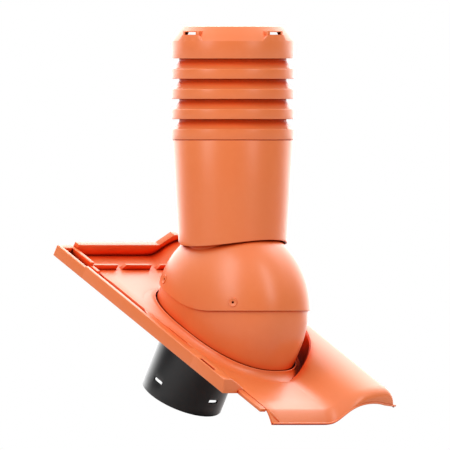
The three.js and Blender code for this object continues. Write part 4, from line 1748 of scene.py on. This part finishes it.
@dataclass
class Studio:
    """Soft white studio with a pale floor, and the camera that looks level at the corner of the part."""

    focus: Triple = (0.0203, -0.1716, 0.0562)
    view: Triple = (0.70710678, 0.70710678, 0.0)
    span: float = 0.585
    distance: float = 2.0
    floor_z: float = -0.2100
    floor_half: float = 3.0
    floor_colour: tuple[float, float, float, float] = (0.42, 0.415, 0.41, 1.0)
    softboxes: Sequence[Softbox] = (Softbox("left_window", -48, 0.5, 10.8),
                                    Softbox("right_window", 38, 0.4, 7.6))
    behind: Triple = (0.68, 0.68, 0.27)
    behind_strength: float = 3.1
    least_light: float = 0.04

    def build(self) -> None:
        """Places the camera, the floor, the lights and the sky."""
        scene = bpy.context.scene
        scene.view_settings.view_transform = "Standard"
        scene.view_settings.look = "None"
        self.camera()
        self.floor()
        self.sky()
        for softbox in self.softboxes:
            softbox.hang(Vector(self.focus), Vector(self.view))

    def camera(self) -> None:
        """Places a level orthographic camera."""
        data = bpy.data.cameras.new("camera")
        data.type = "ORTHO"
        data.ortho_scale = self.span
        data.clip_end = 20
        camera = linked("camera", data)
        camera.location = Vector(self.focus) - Vector(self.view) * self.distance
        camera.rotation_euler = (math.radians(90), 0, math.radians(-45))
        bpy.context.scene.camera = camera

    def floor(self) -> None:
        """Lays a pale floor a little below the part."""
        bpy.ops.object.select_all(action="DESELECT")
        bpy.ops.mesh.primitive_plane_add(size=2 * self.floor_half, location=(0, 0, self.floor_z))
        floor = named("floor")
        material = bpy.data.materials.new("pale_floor")
        material.use_nodes = True
        shader = material.node_tree.nodes["Principled BSDF"]
        shader.inputs["Base Color"].default_value = self.floor_colour
        shader.inputs["Roughness"].default_value = 0.8
        floor.data.materials.append(material)

    def sky(self) -> None:
        """Wraps the part in soft white, brightest overhead and behind it."""
        world = bpy.data.worlds.new("studio")
        bpy.context.scene.world = world
        world.use_nodes = True
        tree = world.node_tree
        nodes, links = tree.nodes, tree.links
        background = nodes["Background"]
        background.inputs["Color"].default_value = (1, 1, 1, 1)
        place = nodes.new("ShaderNodeTexCoord")

        def towards(direction: Triple, span: Span, strength: float) -> bpy.types.NodeSocket:
            """Adds a smooth ramp of light along a direction.

            Args:
                direction: The direction.
                span: Where the ramp starts and ends, as the cosine of the angle to it.
                strength: Light at its end.

            Returns:
                The socket with the light.
            """
            dot = nodes.new("ShaderNodeVectorMath")
            dot.operation = "DOT_PRODUCT"
            dot.inputs[1].default_value = direction
            links.new(place.outputs["Generated"], dot.inputs[0])
            return mapped(tree, dot.outputs["Value"], span, (0, strength), "SMOOTHSTEP")

        overhead = towards((0, 0, 1), (0, 0.9), 1.0)
        behind = towards(self.behind, (0.2, 0.8), self.behind_strength)
        light = reckoned(tree, "ADD", reckoned(tree, "ADD", overhead, behind), self.least_light)
        path = nodes.new("ShaderNodeLightPath")
        seen = nodes.new("ShaderNodeMix")
        seen.inputs[3].default_value = 1.0
        links.new(path.outputs["Is Camera Ray"], seen.inputs["Factor"])
        links.new(light, seen.inputs[2])
        links.new(seen.outputs[0], background.inputs["Strength"])


def dress_frame() -> None:
    """Gives each carried-over CAD node its finish."""
    finishes = {"duct_stub": BLACK}
    for name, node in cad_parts.items():
        node.data.materials.clear()
        node.data.materials.append(finishes.get(name, TERRACOTTA).material())


def main() -> None:
    """Builds the studio and the part, piece by piece."""
    logging.basicConfig(level=logging.INFO, format="%(message)s")
    Studio().build()
    Chimney().build()
    Cap().build()
    Ball().build()
    DuctStub().build()
    Tile().build()
    dress_frame()


if __name__ == "__main__":
    main()
